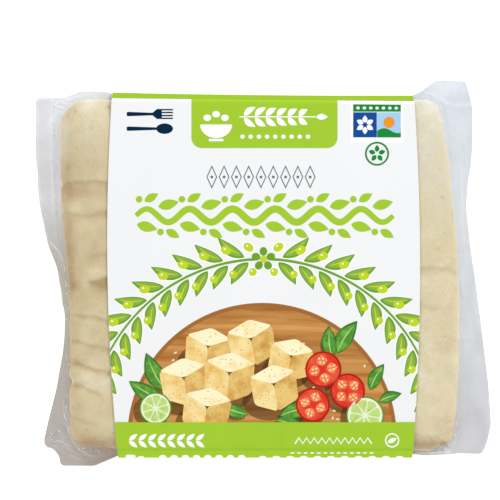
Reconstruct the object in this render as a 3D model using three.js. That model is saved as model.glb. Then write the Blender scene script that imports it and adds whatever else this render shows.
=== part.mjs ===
// A block of pressed tofu sealed in a clear film pouch, with a printed paper sleeve wrapped
// round its middle. Millimetres, +Z up. The pack lies on its back: its front faces +Z, and
// the top of the front points to +Y. The pouch has a flat seal flange at its left and right
// ends, and is folded tight along its top and bottom edges, where the sleeve goes round it.
import * as THREE from "three";

// ---- driving dimensions ----

// The block: its top and bottom edges are straight, and its two ends aren't quite true. The
// left end steps in below its middle, and the right end draws in towards the top.
const BLOCK = {
  top: 50.6,
  bottom: -50.9,
  halfThickness: 12.2,
  corners: { topLeft: 7, bottomLeft: 5, bottomRight: 6, topRight: 4.5 },
};
const LEFT_END = { x: -56.9, step: 1.35, at: 8, length: 14 };
const RIGHT_END = { x: 56.6, drawIn: 4.9, widestAt: -14, length: 59 };

// The front swells by this much at its middle, and meets the edges at these distances.
const CROWN = { height: 1.3, halfWidth: 58, halfLength: 52 };

// The rounding from the wall up to a face: how far it reaches in from the edge.
const EDGE = {
  wall: 6.4, // half the height of the upright wall
  foldReach: 6, // along the folded top and bottom edges
  endReach: 8.5, // along the two ends
};

// The film: a fin where its two layers are sealed together, and a web that runs up to the wall.
const FILM = {
  halfFin: 0.25,
  web: 1.0, // the web's half height falls from the wall's to the fin's over about this far
  webCurve: 1.1,
  foldMargin: 0.8, // how far the folded film stands off the block's top and bottom edges
  sideSpan: 43, // the flanges' plain stretch runs from -43 to 43 along Y
  coveredLeft: -43.4, // the sleeve covers the folded edges between these two
  coveredRight: 44.4,
};

// Each flange is a strip of one true width that bends towards the floor. Seen from the front
// it is narrowest where it is bent most, and widens above and below that place.
const LEFT_FLANGE = {
  side: -1,
  trueWidth: 8.9,
  narrowAt: -14,
  narrow: 1.3,
  above: { wide: 7.2, reach: 23 },
  below: { wide: 8.4, reach: 26 },
};
const RIGHT_FLANGE = {
  side: 1,
  trueWidth: 10.4,
  narrowAt: 17.6,
  narrow: 3.2,
  above: { wide: 9.2, reach: 17.5 },
  below: { wide: 10, reach: 41 },
};

// The film's cut corners, from the flange's long edge round to the folded edge. Two of them
// stand out past the block as ears.
const FILM_CORNERS = {
  bottomLeft: [[-62.8, -47.6], [-62.4, -49.4], [-59.2, -51.7], [-58, -54.9], [-48.5, -54.9], [-45.8, -54]],
  bottomRight: [[64.4, -49.4], [63.2, -51.4]],
  topRight: [[60.3, 49.4], [59.8, 52.3], [58, 55.6], [50.2, 55.9], [48.5, 54.6], [46.2, 52.6]],
  topLeft: [[-65.2, 50], [-64.4, 50.8], [-56.6, 50.8], [-52.5, 52.7], [-45.4, 52.6]],
};

// Creases that the film and cloth pressed across the block's two bare ends. Each dips the
// face by its depth at a height y, and fades out towards the sleeve.
const CREASES = [
  { side: -1, y: 23.5, depth: 0.8, width: 2.6 },
  { side: -1, y: 17.5, depth: 0.5, width: 2.4 },
  { side: -1, y: -9, depth: 0.6, width: 3 },
  { side: -1, y: -21, depth: 0.5, width: 3 },
  { side: -1, y: -32.5, depth: 0.9, width: 3 },
  { side: 1, y: 1.7, depth: 0.4, width: 3 },
  { side: 1, y: -23, depth: 0.5, width: 3.2 },
];
const BARE_END = { from: 46, full: 52 }; // distance from the middle where creases fade in
const CREASE_BITE = 0.8; // how much of a crease's depth also shows in the end's outline

// The sleeve's two edges run from the middle's place, tapered and leaning towards the folds.
const SLEEVE = {
  thickness: 0.5,
  gap: 0.4, // between the paper and the film
  halfLength: 52,
  left: { middle: -43.5, taper: 0.9, lean: -0.3 },
  right: { middle: 44.3, taper: -0.85, lean: -0.25 },
  stations: 9,
};

// How finely the forms are divided.
const STEPS = { flange: 3.4, corner: 2.4, covered: 11 };
const OUTER_RINGS = 5;
const RING_CROWDING = { most: 0.6, length: 8 }; // on a long flange the rings crowd to its root
const FACE_INSETS = [0.35, 0.9, 1.8, 3.2, 5, 8.5, 13, 21, 34];
const BACK_INSETS = [0.35, 0.9, 1.8, 3.2, 5, 8.5];
const CENTRE_REACH = 53; // an inset of this much would shrink the outline to its middle

const backZ = SLEEVE.thickness + SLEEVE.gap;
const midZ = backZ + BLOCK.halfThickness;

// ---- the block's outline and faces ----

function leftEnd(y) {
  return LEFT_END.x - LEFT_END.step * Math.tanh((y - LEFT_END.at) / LEFT_END.length);
}

function rightEnd(y) {
  return RIGHT_END.x - RIGHT_END.drawIn * ((y - RIGHT_END.widestAt) / RIGHT_END.length) ** 2;
}

// Half the block's thickness at an inset from its outline, where the rounding has this reach.
function halfHeight(inset, reach) {
  const left = Math.max(0, 1 - inset / reach);
  const rise = Math.sqrt(1 - left * left);
  return EDGE.wall + (BLOCK.halfThickness - EDGE.wall) * rise;
}

function crown(x, y) {
  return CROWN.height * (1 - (x / CROWN.halfWidth) ** 2) * (1 - (y / CROWN.halfLength) ** 2);
}

function creaseDepth(x, y) {
  const fade = THREE.MathUtils.smoothstep(Math.abs(x), BARE_END.from, BARE_END.full);
  let depth = 0;
  for (const crease of CREASES) {
    if (crease.side !== Math.sign(x)) continue;
    depth += crease.depth * Math.exp(-(((y - crease.y) / crease.width) ** 2));
  }
  return depth * fade;
}

// ---- the film's outline ----

function flangeWidth(flange, y) {
  const part = y > flange.narrowAt ? flange.above : flange.below;
  const rise = 1 - Math.exp(-(((y - flange.narrowAt) / part.reach) ** 2));
  return flange.narrow + (part.wide - flange.narrow) * rise;
}

// How far the flange's edge hangs below its root.
function flangeDrop(flange, y) {
  const width = flangeWidth(flange, y);
  return Math.sqrt(Math.max(0, flange.trueWidth ** 2 - width ** 2));
}

function flangeStation(flange, y) {
  const end = flange.side < 0 ? leftEnd(y) : rightEnd(y);
  const creased = flange.side * creaseDepth(end, y) * CREASE_BITE;
  return {
    block: new THREE.Vector2(end - creased, y),
    film: new THREE.Vector2(end + flange.side * flangeWidth(flange, y), y),
    drop: flangeDrop(flange, y),
    reach: EDGE.endReach,
  };
}

// The block's outline round one corner, from the end of the flange's plain stretch to the
// start of the covered edge. A cubic with this pull comes close to a quarter circle.
const ARC_PULL = 0.55;

function blockCorner(start, foldY, coveredX, radius) {
  const end = start.x < 0 ? leftEnd : rightEnd;
  const cornerX = end(foldY);
  const arcStart = foldY - Math.sign(foldY) * radius;
  const arcEnd = cornerX - Math.sign(cornerX) * radius;
  const path = new THREE.Path();
  path.moveTo(start.x, start.y);
  path.lineTo(end(arcStart), arcStart);
  path.bezierCurveTo(
    THREE.MathUtils.lerp(end(arcStart), cornerX, ARC_PULL),
    THREE.MathUtils.lerp(arcStart, foldY, ARC_PULL),
    THREE.MathUtils.lerp(arcEnd, cornerX, ARC_PULL),
    foldY,
    arcEnd,
    foldY,
  );
  path.lineTo(coveredX, foldY);
  return path;
}

// The stations round one corner. The film's corner points are all kept, and the stretches
// between them are divided evenly.
function cornerStations(flangeEnd, foldY, coveredX, radius, points) {
  const blockPath = blockCorner(flangeEnd.block, foldY, coveredX, radius);
  const foldFilm = new THREE.Vector2(coveredX, foldY + Math.sign(foldY) * FILM.foldMargin);
  const corners = [flangeEnd.film, ...points.map(([x, y]) => new THREE.Vector2(x, y)), foldFilm];
  const film = [flangeEnd.film];
  for (let i = 1; i < corners.length; i++) {
    const count = Math.ceil(corners[i].distanceTo(corners[i - 1]) / STEPS.corner);
    for (let k = 1; k <= count; k++) {
      film.push(corners[i - 1].clone().lerp(corners[i], k / count));
    }
  }
  const runs = [0];
  for (let i = 1; i < film.length; i++) runs.push(runs[i - 1] + film[i].distanceTo(film[i - 1]));
  const total = runs[runs.length - 1];
  return film.map((point, i) => {
    const along = runs[i] / total;
    const ease = 1 - THREE.MathUtils.smoothstep(along, 0, 1);
    return {
      block: blockPath.getPointAt(along),
      film: point,
      drop: flangeEnd.drop * ease,
      reach: THREE.MathUtils.lerp(EDGE.foldReach, EDGE.endReach, ease),
    };
  });
}

function between(from, to, step) {
  const count = Math.ceil(Math.abs(to - from) / step);
  return Array.from({ length: count - 1 }, (_, i) => from + ((to - from) * (i + 1)) / count);
}

function foldStations(fromX, toX, foldY) {
  return between(fromX, toX, STEPS.covered).map((x) => ({
    block: new THREE.Vector2(x, foldY),
    film: new THREE.Vector2(x, foldY + Math.sign(foldY) * FILM.foldMargin),
    drop: 0,
    reach: EDGE.foldReach,
  }));
}

// The whole outline, anticlockwise from the top of the left flange.
function outline() {
  const { top, bottom, corners } = BLOCK;
  const { sideSpan, coveredLeft, coveredRight } = FILM;
  const corner = (flange, y, foldY, x, radius, points) =>
    cornerStations(flangeStation(flange, y), foldY, x, radius, points);
  const side = (flange, from, to) =>
    between(from, to, STEPS.flange).map((y) => flangeStation(flange, y));
  return [
    ...side(LEFT_FLANGE, sideSpan, -sideSpan),
    ...corner(LEFT_FLANGE, -sideSpan, bottom, coveredLeft, corners.bottomLeft, FILM_CORNERS.bottomLeft),
    ...foldStations(coveredLeft, coveredRight, bottom),
    ...corner(
      RIGHT_FLANGE, -sideSpan, bottom, coveredRight, corners.bottomRight, FILM_CORNERS.bottomRight,
    ).reverse(),
    ...side(RIGHT_FLANGE, -sideSpan, sideSpan),
    ...corner(RIGHT_FLANGE, sideSpan, top, coveredRight, corners.topRight, FILM_CORNERS.topRight),
    ...foldStations(coveredRight, coveredLeft, top),
    ...corner(
      LEFT_FLANGE, sideSpan, top, coveredLeft, corners.topLeft, FILM_CORNERS.topLeft,
    ).reverse(),
  ];
}

// ---- closed meshes from rings of points ----

class RingMesh {
  constructor() {
    this.points = [];
    this.faces = [];
  }

  ring(points) {
    const start = this.points.length;
    this.points.push(...points);
    return { start, count: points.length };
  }

  // Joins two rings of as many points. Seen from outside, a runs from left to right below b.
  bridge(a, b) {
    for (let i = 0; i < a.count; i++) {
      const next = (i + 1) % a.count;
      this.faces.push(a.start + i, a.start + next, b.start + next);
      this.faces.push(a.start + i, b.start + next, b.start + i);
    }
  }

  // Closes a ring with a fan round one point.
  cap(ring, centre, outwards) {
    const hub = this.points.length;
    this.points.push(centre);
    for (let i = 0; i < ring.count; i++) {
      const here = ring.start + i;
      const next = ring.start + ((i + 1) % ring.count);
      this.faces.push(...(outwards ? [here, next, hub] : [next, here, hub]));
    }
  }

  geometry() {
    const geometry = new THREE.BufferGeometry().setFromPoints(this.points);
    geometry.setIndex(this.faces);
    geometry.computeVertexNormals();
    return geometry;
  }
}

// ---- the pouch ----

// Half the height of the web, at a distance from the block's wall.
function webHeight(distance, fin) {
  const fall = Math.exp(-((distance / FILM.web) ** FILM.webCurve));
  return fin + (EDGE.wall - fin) * fall;
}

// One ring of the film outside the block, on its front (facing 1) or its back (facing -1).
function filmRing(stations, along, facing) {
  return stations.map(({ block, film, drop }) => {
    const width = film.distanceTo(block);
    const length = Math.hypot(width, drop);
    const part = along ** (1 + RING_CROWDING.most * Math.min(1, length / RING_CROWDING.length));
    const half = webHeight(length * part, (FILM.halfFin * length) / width);
    const point = block.clone().lerp(film, part);
    return new THREE.Vector3(point.x, point.y, midZ - drop * part + facing * half);
  });
}

// One ring of a face of the block, inside its outline by the inset. The front's crown and
// creases fade in over the first of the rounding.
const RELIEF_EASE = 2;

function faceRing(stations, inset, facing) {
  return stations.map(({ block, reach }) => {
    const point = block.clone().multiplyScalar(1 - inset / CENTRE_REACH);
    const half = halfHeight(inset, reach);
    const relief = facing > 0 ? crown(point.x, point.y) - creaseDepth(point.x, point.y) : 0;
    const ease = THREE.MathUtils.smoothstep(inset, 0, RELIEF_EASE);
    return new THREE.Vector3(point.x, point.y, midZ + facing * half + relief * ease);
  });
}

function pouchGeometry() {
  const stations = outline();
  const film = Array.from({ length: OUTER_RINGS }, (_, i) => (OUTER_RINGS - i) / OUTER_RINGS);
  const half = (facing, insets) => [
    ...film.map((along) => filmRing(stations, along, facing)),
    ...[0, ...insets].map((inset) => faceRing(stations, inset, facing)),
  ];
  const mesh = new RingMesh();
  const rings = [...half(-1, BACK_INSETS).reverse(), ...half(1, FACE_INSETS)].map((points) =>
    mesh.ring(points),
  );
  for (let i = 1; i < rings.length; i++) mesh.bridge(rings[i - 1], rings[i]);
  mesh.cap(rings[0], new THREE.Vector3(0, 0, backZ), false);
  const frontZ = midZ + BLOCK.halfThickness + CROWN.height;
  mesh.cap(rings[rings.length - 1], new THREE.Vector3(0, 0, frontZ), true);
  return mesh.geometry();
}

// ---- the sleeve ----

// Where the sleeve's left or right edge runs at a height y, on its front and its back alike.
function sleeveEdge({ middle, taper, lean }, y) {
  const v = y / SLEEVE.halfLength;
  return middle + taper * Math.abs(v) ** 3 + lean * v;
}

// The front or back half of the section that the sleeve goes round, as pairs of y and height
// above the pack's middle.
const SECTION_INSETS = [0.35, 0.9, 1.8, 3.2, 5, 8.5, 21, 36];

function sectionHalf(facing) {
  const scaled = (y, inset) => [
    y * (1 - inset / CENTRE_REACH),
    facing * halfHeight(inset, EDGE.foldReach),
  ];
  const rim = webHeight(FILM.foldMargin, FILM.halfFin);
  return [
    [BLOCK.top + FILM.foldMargin, facing * rim],
    ...SECTION_INSETS.map((inset) => scaled(BLOCK.top, inset)),
    [0, facing * BLOCK.halfThickness],
    ...[...SECTION_INSETS].reverse().map((inset) => scaled(BLOCK.bottom, inset)),
    [BLOCK.bottom - FILM.foldMargin, facing * rim],
  ];
}

// A closed loop of points moved outwards by a distance, its corners kept sharp.
function offsetLoop(loop, distance) {
  const normals = loop.map((point, i) => {
    const next = loop[(i + 1) % loop.length];
    return new THREE.Vector2(next.y - point.y, point.x - next.x).normalize();
  });
  return loop.map((point, i) => {
    const before = normals[(i + loop.length - 1) % loop.length];
    const middle = before.clone().add(normals[i]).normalize();
    return point.clone().addScaledVector(middle, distance / middle.dot(before));
  });
}

function sleeveLoop(share, distance) {
  const section = [...sectionHalf(1), ...sectionHalf(-1).reverse()];
  const loop = offsetLoop(section.map(([y, z]) => new THREE.Vector2(y, z)), distance);
  return loop.map(({ x: y, y: height }) => {
    const x = THREE.MathUtils.lerp(sleeveEdge(SLEEVE.left, y), sleeveEdge(SLEEVE.right, y), share);
    const swell = height > 0 ? Math.max(0, crown(x, y)) : 0;
    return new THREE.Vector3(x, y, midZ + height + swell);
  });
}

function sleeveGeometry() {
  const shares = Array.from({ length: SLEEVE.stations }, (_, i) => i / (SLEEVE.stations - 1));
  const mesh = new RingMesh();
  const outer = shares.map((share) => mesh.ring(sleeveLoop(share, SLEEVE.gap + SLEEVE.thickness)));
  const inner = shares.map((share) => mesh.ring(sleeveLoop(share, SLEEVE.gap))).reverse();
  const rings = [...outer, ...inner];
  rings.forEach((ring, i) => mesh.bridge(ring, rings[(i + 1) % rings.length]));
  return mesh.geometry();
}

// ---- the pack ----

const pack = new THREE.Group();

const pouch = new THREE.Mesh(
  pouchGeometry(),
  new THREE.MeshStandardMaterial({ color: 0xd8ccae, roughness: 0.3, metalness: 0 }),
);
pouch.name = "vacuum_pouch";

const sleeve = new THREE.Mesh(
  sleeveGeometry(),
  new THREE.MeshStandardMaterial({ color: 0xf3f4f5, roughness: 0.55, metalness: 0 }),
);
sleeve.name = "paper_sleeve";

pack.add(pouch, sleeve);

// The origin is the middle of the pack's footprint, on the surface that it lies on.
const extent = new THREE.Box3().setFromObject(pack);
const middle = extent.getCenter(new THREE.Vector3());
for (const piece of [pouch, sleeve]) piece.position.set(-middle.x, -middle.y, -extent.min.z);

export default pack;
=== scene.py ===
"""A block of pressed tofu sealed in a clear film pouch, with a printed paper sleeve round it.

The pack lies on its back with its printed front up. Sizes are in millimetres in this file,
and each finished piece is in metres in the frame of the packed model.
"""

import math

import bpy
import numpy as np
from bpy.props import FloatProperty, FloatVectorProperty, PointerProperty
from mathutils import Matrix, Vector, noise


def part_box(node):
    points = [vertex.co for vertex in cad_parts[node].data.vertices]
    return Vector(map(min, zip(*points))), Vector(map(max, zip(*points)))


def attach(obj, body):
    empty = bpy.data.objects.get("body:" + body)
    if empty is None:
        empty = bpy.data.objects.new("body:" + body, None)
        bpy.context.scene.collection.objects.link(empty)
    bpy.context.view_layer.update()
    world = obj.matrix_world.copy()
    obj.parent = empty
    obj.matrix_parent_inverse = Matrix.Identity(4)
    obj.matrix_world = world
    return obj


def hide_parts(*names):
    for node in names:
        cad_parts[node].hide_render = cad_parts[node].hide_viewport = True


bl_info = {
    "name": "Sealed tofu block",
    "version": (1, 0, 0),
    "blender": (4, 5, 0),
    "location": "View3D > Sidebar > Tofu pack",
    "description": "Pressed tofu in a clear film pouch with a printed paper sleeve",
    "category": "Object",
}

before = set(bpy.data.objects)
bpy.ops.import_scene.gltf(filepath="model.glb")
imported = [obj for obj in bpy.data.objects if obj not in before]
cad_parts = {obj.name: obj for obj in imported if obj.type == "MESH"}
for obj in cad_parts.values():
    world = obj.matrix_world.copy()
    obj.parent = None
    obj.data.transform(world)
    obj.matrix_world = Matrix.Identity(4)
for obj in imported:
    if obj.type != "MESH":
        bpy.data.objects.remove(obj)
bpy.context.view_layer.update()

MM = 0.001
TAU = 2 * math.pi
ROOT = "root"

# ---- the pack's form, as its frame has it ----

BLOCK_TOP = 50.6
BLOCK_BOTTOM = -50.9
HALF_THICKNESS = 12.2
CORNER_RADII = {"top_left": 7, "bottom_left": 6.3, "bottom_right": 6, "top_right": 4.5}
LEFT_END = {"x": -56.9, "step": 1.35, "at": 8, "length": 14}
RIGHT_END = {"x": 56.95, "draw_in": 4.9, "widest_at": -14, "length": 59}
CROWN = {"height": 1.3, "half_width": 58, "half_length": 52}
WALL = 6.4  # half the height of the block's upright wall
FOLD_REACH = 6  # how far in the block's edge is rounded at the folds, and at its two ends
END_REACH = 8.5
CENTRE_REACH = 53  # an inset this large is the front's middle
FOLD_MARGIN = 0.8  # the film past the block at the folded edges
SIDE_SPAN = 43  # a flange's plain stretch reaches this far up and down
DROP_EVENED = 5  # the flanges' droop is evened out over this much to both sides
STRAY_EVENED = 1.2  # and how far their cut edges stray is evened out over this much
COVERED_LEFT = -40.8  # the sleeve hides the outline between these two places
COVERED_RIGHT = 42.6
COVERED_SAMPLES = 18
CORNER_PULL = 0.55  # how full the block's corners are
CORNER_SAMPLES = 60
CORNER_SOFT = 1.1  # the film's corners are softened over this much
LEFT_FLANGE = {
    "side": -1, "true_width": 8.9, "narrow_at": -14, "narrow": 1.3,
    "above": (7.2, 23), "below": (8.4, 26),
}
RIGHT_FLANGE = {
    "side": 1, "true_width": 10.6, "narrow_at": 17.6, "narrow": 3.4,
    "above": (9.2, 17.5), "below": (13.3, 55),
}
# How far each flange's cut edge strays outwards from that form: heights, and distances there.
STRAYS = {
    -1: ((-43, -38, -33, -28, -15, -11, -7, -4, -1, 2, 5, 8, 11, 15, 20, 26, 29, 34, 38),
         (0, -0.3, -0.3, 0, -0.05, -0.2, 0.1, -0.25, -0.4, -0.75, -0.55, -0.1, -0.25, -0.45,
          -0.2, -0.25, -0.4, 0.1, 0)),
    1: ((-40, -24, -12, 0, 12, 24, 34, 40), (0, 0.03, 0.33, 0.45, 0.43, 0.3, 0.1, 0)),
}
FILM_CORNERS = {
    "bottom_left": [
        (-62.8, -47.1), (-62.9, -48.6), (-62.2, -49.8), (-60.8, -49.9), (-59.7, -50.8),
        (-58.7, -52.2), (-58.3, -53.3), (-58.4, -54.3), (-57.7, -55.1), (-48.3, -55.1),
        (-46, -54.1), (-43.9, -53.2), (-42, -52.4),
    ],
    "bottom_right": [
        (65.3, -47.2), (64.3, -50.2), (63.3, -51.7), (57, -51.5), (53.1, -51.8), (46.9, -52.1),
        (44, -51.7),
    ],
    "top_right": [
        (60.9, 48), (60.4, 50.5), (59.6, 53.8), (58.8, 56), (50.1, 56.2), (48.4, 54.9),
        (45.8, 52.9),
    ],
    "top_left": [
        (-65.4, 50), (-64.9, 51.1), (-62.2, 51.4), (-59.5, 51.3), (-56.8, 51.2), (-55.7, 51.9),
        (-54.1, 52.2), (-52.7, 53.1), (-45, 53),
    ],
}
SLEEVE_LEFT = {"widest": -44.5, "at": 10, "bow": 0.00078}
SLEEVE_RIGHT = {"widest": 45.45, "at": 2, "bow": -0.00072}
OUTLINE_MIDDLE = (-0.357, 0.5)  # the middle of the film's extents
SLEEVE_STAND_OFF = 0.9  # the paper's outer face above the film
FRONT_STAND_OFF = 0.42
PAPER = 0.2
TOP_TILT = {"left": 0.3, "right": -0.5, "sag": 0.28}  # the sleeve's top fold runs askew
BACK_Z = 0.9
MID_Z = BACK_Z + HALF_THICKNESS
FRONT_Z = MID_Z + HALF_THICKNESS + CROWN["height"]


def linear(code):
    """A colour code of six hexadecimal digits as linear red, green and blue."""
    values = [int(code[i:i + 2], 16) / 255 for i in (0, 2, 4)]
    return tuple(v / 12.92 if v <= 0.04045 else ((v + 0.055) / 1.055) ** 2.4 for v in values)


def opaque(colour):
    """A colour with an alpha of 1 behind its three numbers."""
    return (*colour[:3], 1)


def paint(code):
    """A colour code as a material takes it."""
    return opaque(linear(code))


def smoothstep(values, low, high):
    """0 below low, 1 above high, and a smooth rise between them."""
    t = np.clip((np.asarray(values, float) - low) / (high - low), 0, 1)
    return t * t * (3 - 2 * t)


def fade(values, low, high):
    """1 below low, 0 above high, and a smooth fall between them."""
    return 1 - smoothstep(values, low, high)


# ---- the outline of the block and of the film ----


def left_end(y):
    """Where the block's left end is at a height on its front."""
    return LEFT_END["x"] - LEFT_END["step"] * np.tanh((y - LEFT_END["at"]) / LEFT_END["length"])


def right_end(y):
    """Where the block's right end is at a height on its front."""
    away = (y - RIGHT_END["widest_at"]) / RIGHT_END["length"]
    return RIGHT_END["x"] - RIGHT_END["draw_in"] * away**2


def flange_width(flange, y):
    """How wide a seal flange looks from the front."""
    wide = np.where(y > flange["narrow_at"], flange["above"][0], flange["below"][0])
    reach = np.where(y > flange["narrow_at"], flange["above"][1], flange["below"][1])
    rise = 1 - np.exp(-(((y - flange["narrow_at"]) / reach) ** 2))
    return flange["narrow"] + (wide - flange["narrow"]) * rise


class Run:
    """A stretch of the outline: the block's edge, the film's edge, its drop and the rounding."""

    def __init__(self, block, film, drop, reach):
        self.block = block
        self.film = film
        self.drop = drop
        self.reach = reach

    def reversed(self):
        return Run(self.block[::-1], self.film[::-1], self.drop[::-1], self.reach[::-1])

    @property
    def width(self):
        return np.hypot(*(self.film - self.block).T)

    @property
    def length(self):
        return np.hypot(self.width, self.drop)


def worn(run):
    """The same run with the block's edge worn in where its curd is rubbed or torn."""
    block = run.block + left_of(run.block) * edge_wear(run)[:, None]
    return Run(block, run.film, run.drop, run.reach)


def joined(*runs):
    """One run made of several, end to end."""
    return Run(*(np.concatenate([getattr(r, key) for r in runs])
                 for key in ("block", "film", "drop", "reach")))


def flange_run(flange, y):
    """The plain stretch of a flange, at these heights."""
    end = left_end(y) if flange["side"] < 0 else right_end(y)
    bite = flange["side"] * edge_bite(flange["side"], y)
    width = flange_width(flange, y)
    drop = np.sqrt(np.maximum(0, flange["true_width"] ** 2 - width**2))
    block = np.column_stack([end - bite, y])
    near = (-STRAY_EVENED, 0, STRAY_EVENED)
    stray = sum(np.interp(y + away, *STRAYS[flange["side"]]) for away in near) / len(near)
    film = np.column_stack([end + flange["side"] * (width + stray), y])
    return Run(block, film, drop, np.full(len(y), END_REACH))


def run_lengths(points):
    """How far along a polyline each of its points is."""
    return np.concatenate([[0], np.cumsum(np.hypot(*np.diff(points, axis=0).T))])


def along(points, shares):
    """Points at shares of a polyline's length."""
    points = np.asarray(points, float)
    runs = run_lengths(points)
    at = np.asarray(shares) * runs[-1]
    return np.column_stack([np.interp(at, runs, column) for column in points.T])


def left_of(line):
    """Unit normals on the left of a line, at its points."""
    step = np.gradient(line, axis=0)
    normal = np.column_stack([-step[:, 1], step[:, 0]])
    return normal / np.maximum(np.hypot(*normal.T), 1e-9)[:, None]


def softened(points, reach):
    """A dense polyline with its corners rounded over a number of points, its ends kept."""
    out = points.copy()
    for _ in range(2):
        kernel = np.ones(reach) / reach
        padded = np.vstack([
            2 * out[0] - out[reach - 1:0:-1], out, 2 * out[-1] - out[-2:-reach - 1:-1],
        ])
        smooth = np.column_stack([np.convolve(padded[:, i], kernel, "same") for i in (0, 1)])
        ends = out[[0, -1]].copy()
        out = smooth[reach - 1:reach - 1 + len(out)]
        out[[0, -1]] = ends
    return out


def corner_run(flange, y, fold_y, covered_x, corner, step):
    """The outline round one corner, from the flange's plain stretch to the covered edge."""
    start = flange_run(flange, np.array([float(y)]))
    end = left_end if flange["side"] < 0 else right_end
    radius = CORNER_RADII[corner]
    corner_x = end(fold_y)
    arc_start = fold_y - np.sign(fold_y) * radius
    arc_end = corner_x - np.sign(corner_x) * radius
    a = np.array([end(arc_start), arc_start])
    b = a + (np.array([corner_x, fold_y]) - a) * CORNER_PULL
    c = np.array([arc_end + (corner_x - arc_end) * CORNER_PULL, fold_y])
    d = np.array([arc_end, fold_y])
    t = np.linspace(0, 1, CORNER_SAMPLES)[:, None]
    arc = a * (1 - t) ** 3 + 3 * b * t * (1 - t) ** 2 + 3 * c * t**2 * (1 - t) + d * t**3
    block_path = np.vstack([start.block, arc, [[covered_x, fold_y]]])
    fold_film = (covered_x, fold_y + math.copysign(FOLD_MARGIN, fold_y))
    film_path = np.vstack([start.film, FILM_CORNERS[corner], [fold_film]])
    shares = np.linspace(0, 1, int(run_lengths(film_path)[-1] / step) + 1)
    film = softened(along(film_path, shares), max(2, int(CORNER_SOFT / step)))
    ease = fade(shares, 0, 1)
    reach = FOLD_REACH + (END_REACH - FOLD_REACH) * ease
    return Run(along(block_path, shares), film, start.drop[0] * ease, reach)


def fold_run(from_x, to_x, fold_y):
    """A stretch of the folded edge that the sleeve covers."""
    x = np.linspace(from_x, to_x, COVERED_SAMPLES + 2)[1:-1]
    block = np.column_stack([x, np.full(len(x), fold_y)])
    film = block + (0, math.copysign(FOLD_MARGIN, fold_y))
    return Run(block, film, np.zeros(len(x)), np.full(len(x), float(FOLD_REACH)))


def end_run(flange, step):
    """One whole end of the pack, anticlockwise: a corner, the flange and the other corner."""
    heights = np.linspace(SIDE_SPAN, -SIDE_SPAN, int(2 * SIDE_SPAN / step) + 1)[1:-1]
    left = flange["side"] < 0
    covered = COVERED_LEFT if left else COVERED_RIGHT
    side = "left" if left else "right"
    top = corner_run(flange, SIDE_SPAN, BLOCK_TOP, covered, "top_" + side, step)
    low = corner_run(flange, -SIDE_SPAN, BLOCK_BOTTOM, covered, "bottom_" + side, step)
    if left:
        run = joined(top.reversed(), flange_run(flange, heights), low)
    else:
        run = joined(low.reversed(), flange_run(flange, heights[::-1]), top)
    reach = int(DROP_EVENED / step)
    padded = np.pad(run.drop, reach, mode="edge")
    run.drop = np.convolve(padded, np.ones(2 * reach + 1) / (2 * reach + 1), "valid")
    return run


def whole_outline(step):
    """The closed outline, anticlockwise."""
    return joined(
        end_run(LEFT_FLANGE, step),
        fold_run(COVERED_LEFT, COVERED_RIGHT, BLOCK_BOTTOM),
        end_run(RIGHT_FLANGE, step),
        fold_run(COVERED_RIGHT, COVERED_LEFT, BLOCK_TOP),
    )


# ---- creases and blemishes of the block's two bare ends ----

# Each crease is a line across the front, steep on its upper side and gentle below it. Behind the
# line stand its depth, its reach above and below, how dark the painted shade along its bottom line
# is, and its painted shade below that line.
CREASES = [
    ([(-55.8, 26.2), (-52.8, 26.3), (-49.6, 26.6), (-44, 26.5)], 0.8, 0.4, 3.2, 0.45, 0.5),
    ([(-56.4, 18.2), (-53.1, 17.3), (-50.2, 16.9), (-47.3, 17.8), (-44, 18.4)],
     0.45, 0.9, 1.8, 0.3, 0.5),
    ([(-50.5, 5.2), (-48, 5.6), (-44, 5.9)], 0.3, 0.8, 1.8, 0.1, 0.4),
    ([(-49.5, -2.2), (-47.4, -1.9), (-44, -0.9)], 0.7, 0.5, 2.4, 0.75, 1),
    ([(-55.8, -11.4), (-51.6, -11.7), (-48.2, -12.1), (-44, -13.2)], 0.5, 0.4, 1.3, 0.7, 0.1),
    ([(-55.8, -18.4), (-52.8, -19.3), (-50.8, -19.9), (-47.8, -20.7), (-44, -21.3)],
     0.45, 0.45, 1.9, 0.5, 0.3),
    ([(-55.8, -24.9), (-52.8, -25.7), (-50.5, -26.5), (-47.6, -27.7), (-43.7, -28)],
     0.7, 0.35, 1.4, 0.7, 0.25),
    ([(-55.8, -30.9), (-53.6, -32), (-51.6, -32.5), (-49.6, -33.5), (-46.5, -34.9)],
     0.7, 0.4, 1.5, 0.35, 0.15),
    ([(-55.6, -40.6), (-53, -41.3), (-51.3, -42.4), (-48, -43)], 0.45, 0.5, 1.7, 0.38, 0.22),
    ([(44, 1.8), (46, 1.9), (49, 1.7), (53, 1.9), (56, 0.2)], 0.4, 0.4, 1.5, 0.3, 0.4),
    ([(44.5, -8.6), (47, -8.9), (50, -9.9)], 0.2, 0.6, 1.4, 0.2, 0.3),
    ([(44.5, -20.4), (49, -19.6), (54, -19.4), (56.5, -20.6)], 0.25, 0.8, 2.4, 0.1, 0.15),
    ([(43, -45.4), (46, -46.6), (49, -46.9), (52, -45.9), (56.2, -43.8)], 0.5, 0.8, 2.2, 0.15, 0.3),
]
CREASE_DEPTH = 0.7
# painted shade along the bottom line of the creases
CREASE_LINE_SHADE = 0.7
CREASE_ENDS = 1.6  # a crease fades out over this much past the ends of its line
CREASE_WITHIN = 0.4  # and over this much within them
CREASE_WANDERS = ((0.12, 1.1, 1), (0.04, 3.1, 2))  # how far, how often, and out of step by what
BITE_FROM = 55.3  # a crease that starts this far out also bites into the outline
BITE_SHARE = 0.4
BITE_REACH = 1.1
COVER_FADE = (39.4, 41.2)  # under the sleeve's edge the creases fade out

# The small unevenness of the curd's edge: size of its features, seed and height.
EDGE_ROUGHNESS = ((2.6, 91.0, 0.09), (1.1, 92.0, 0.03))
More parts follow.
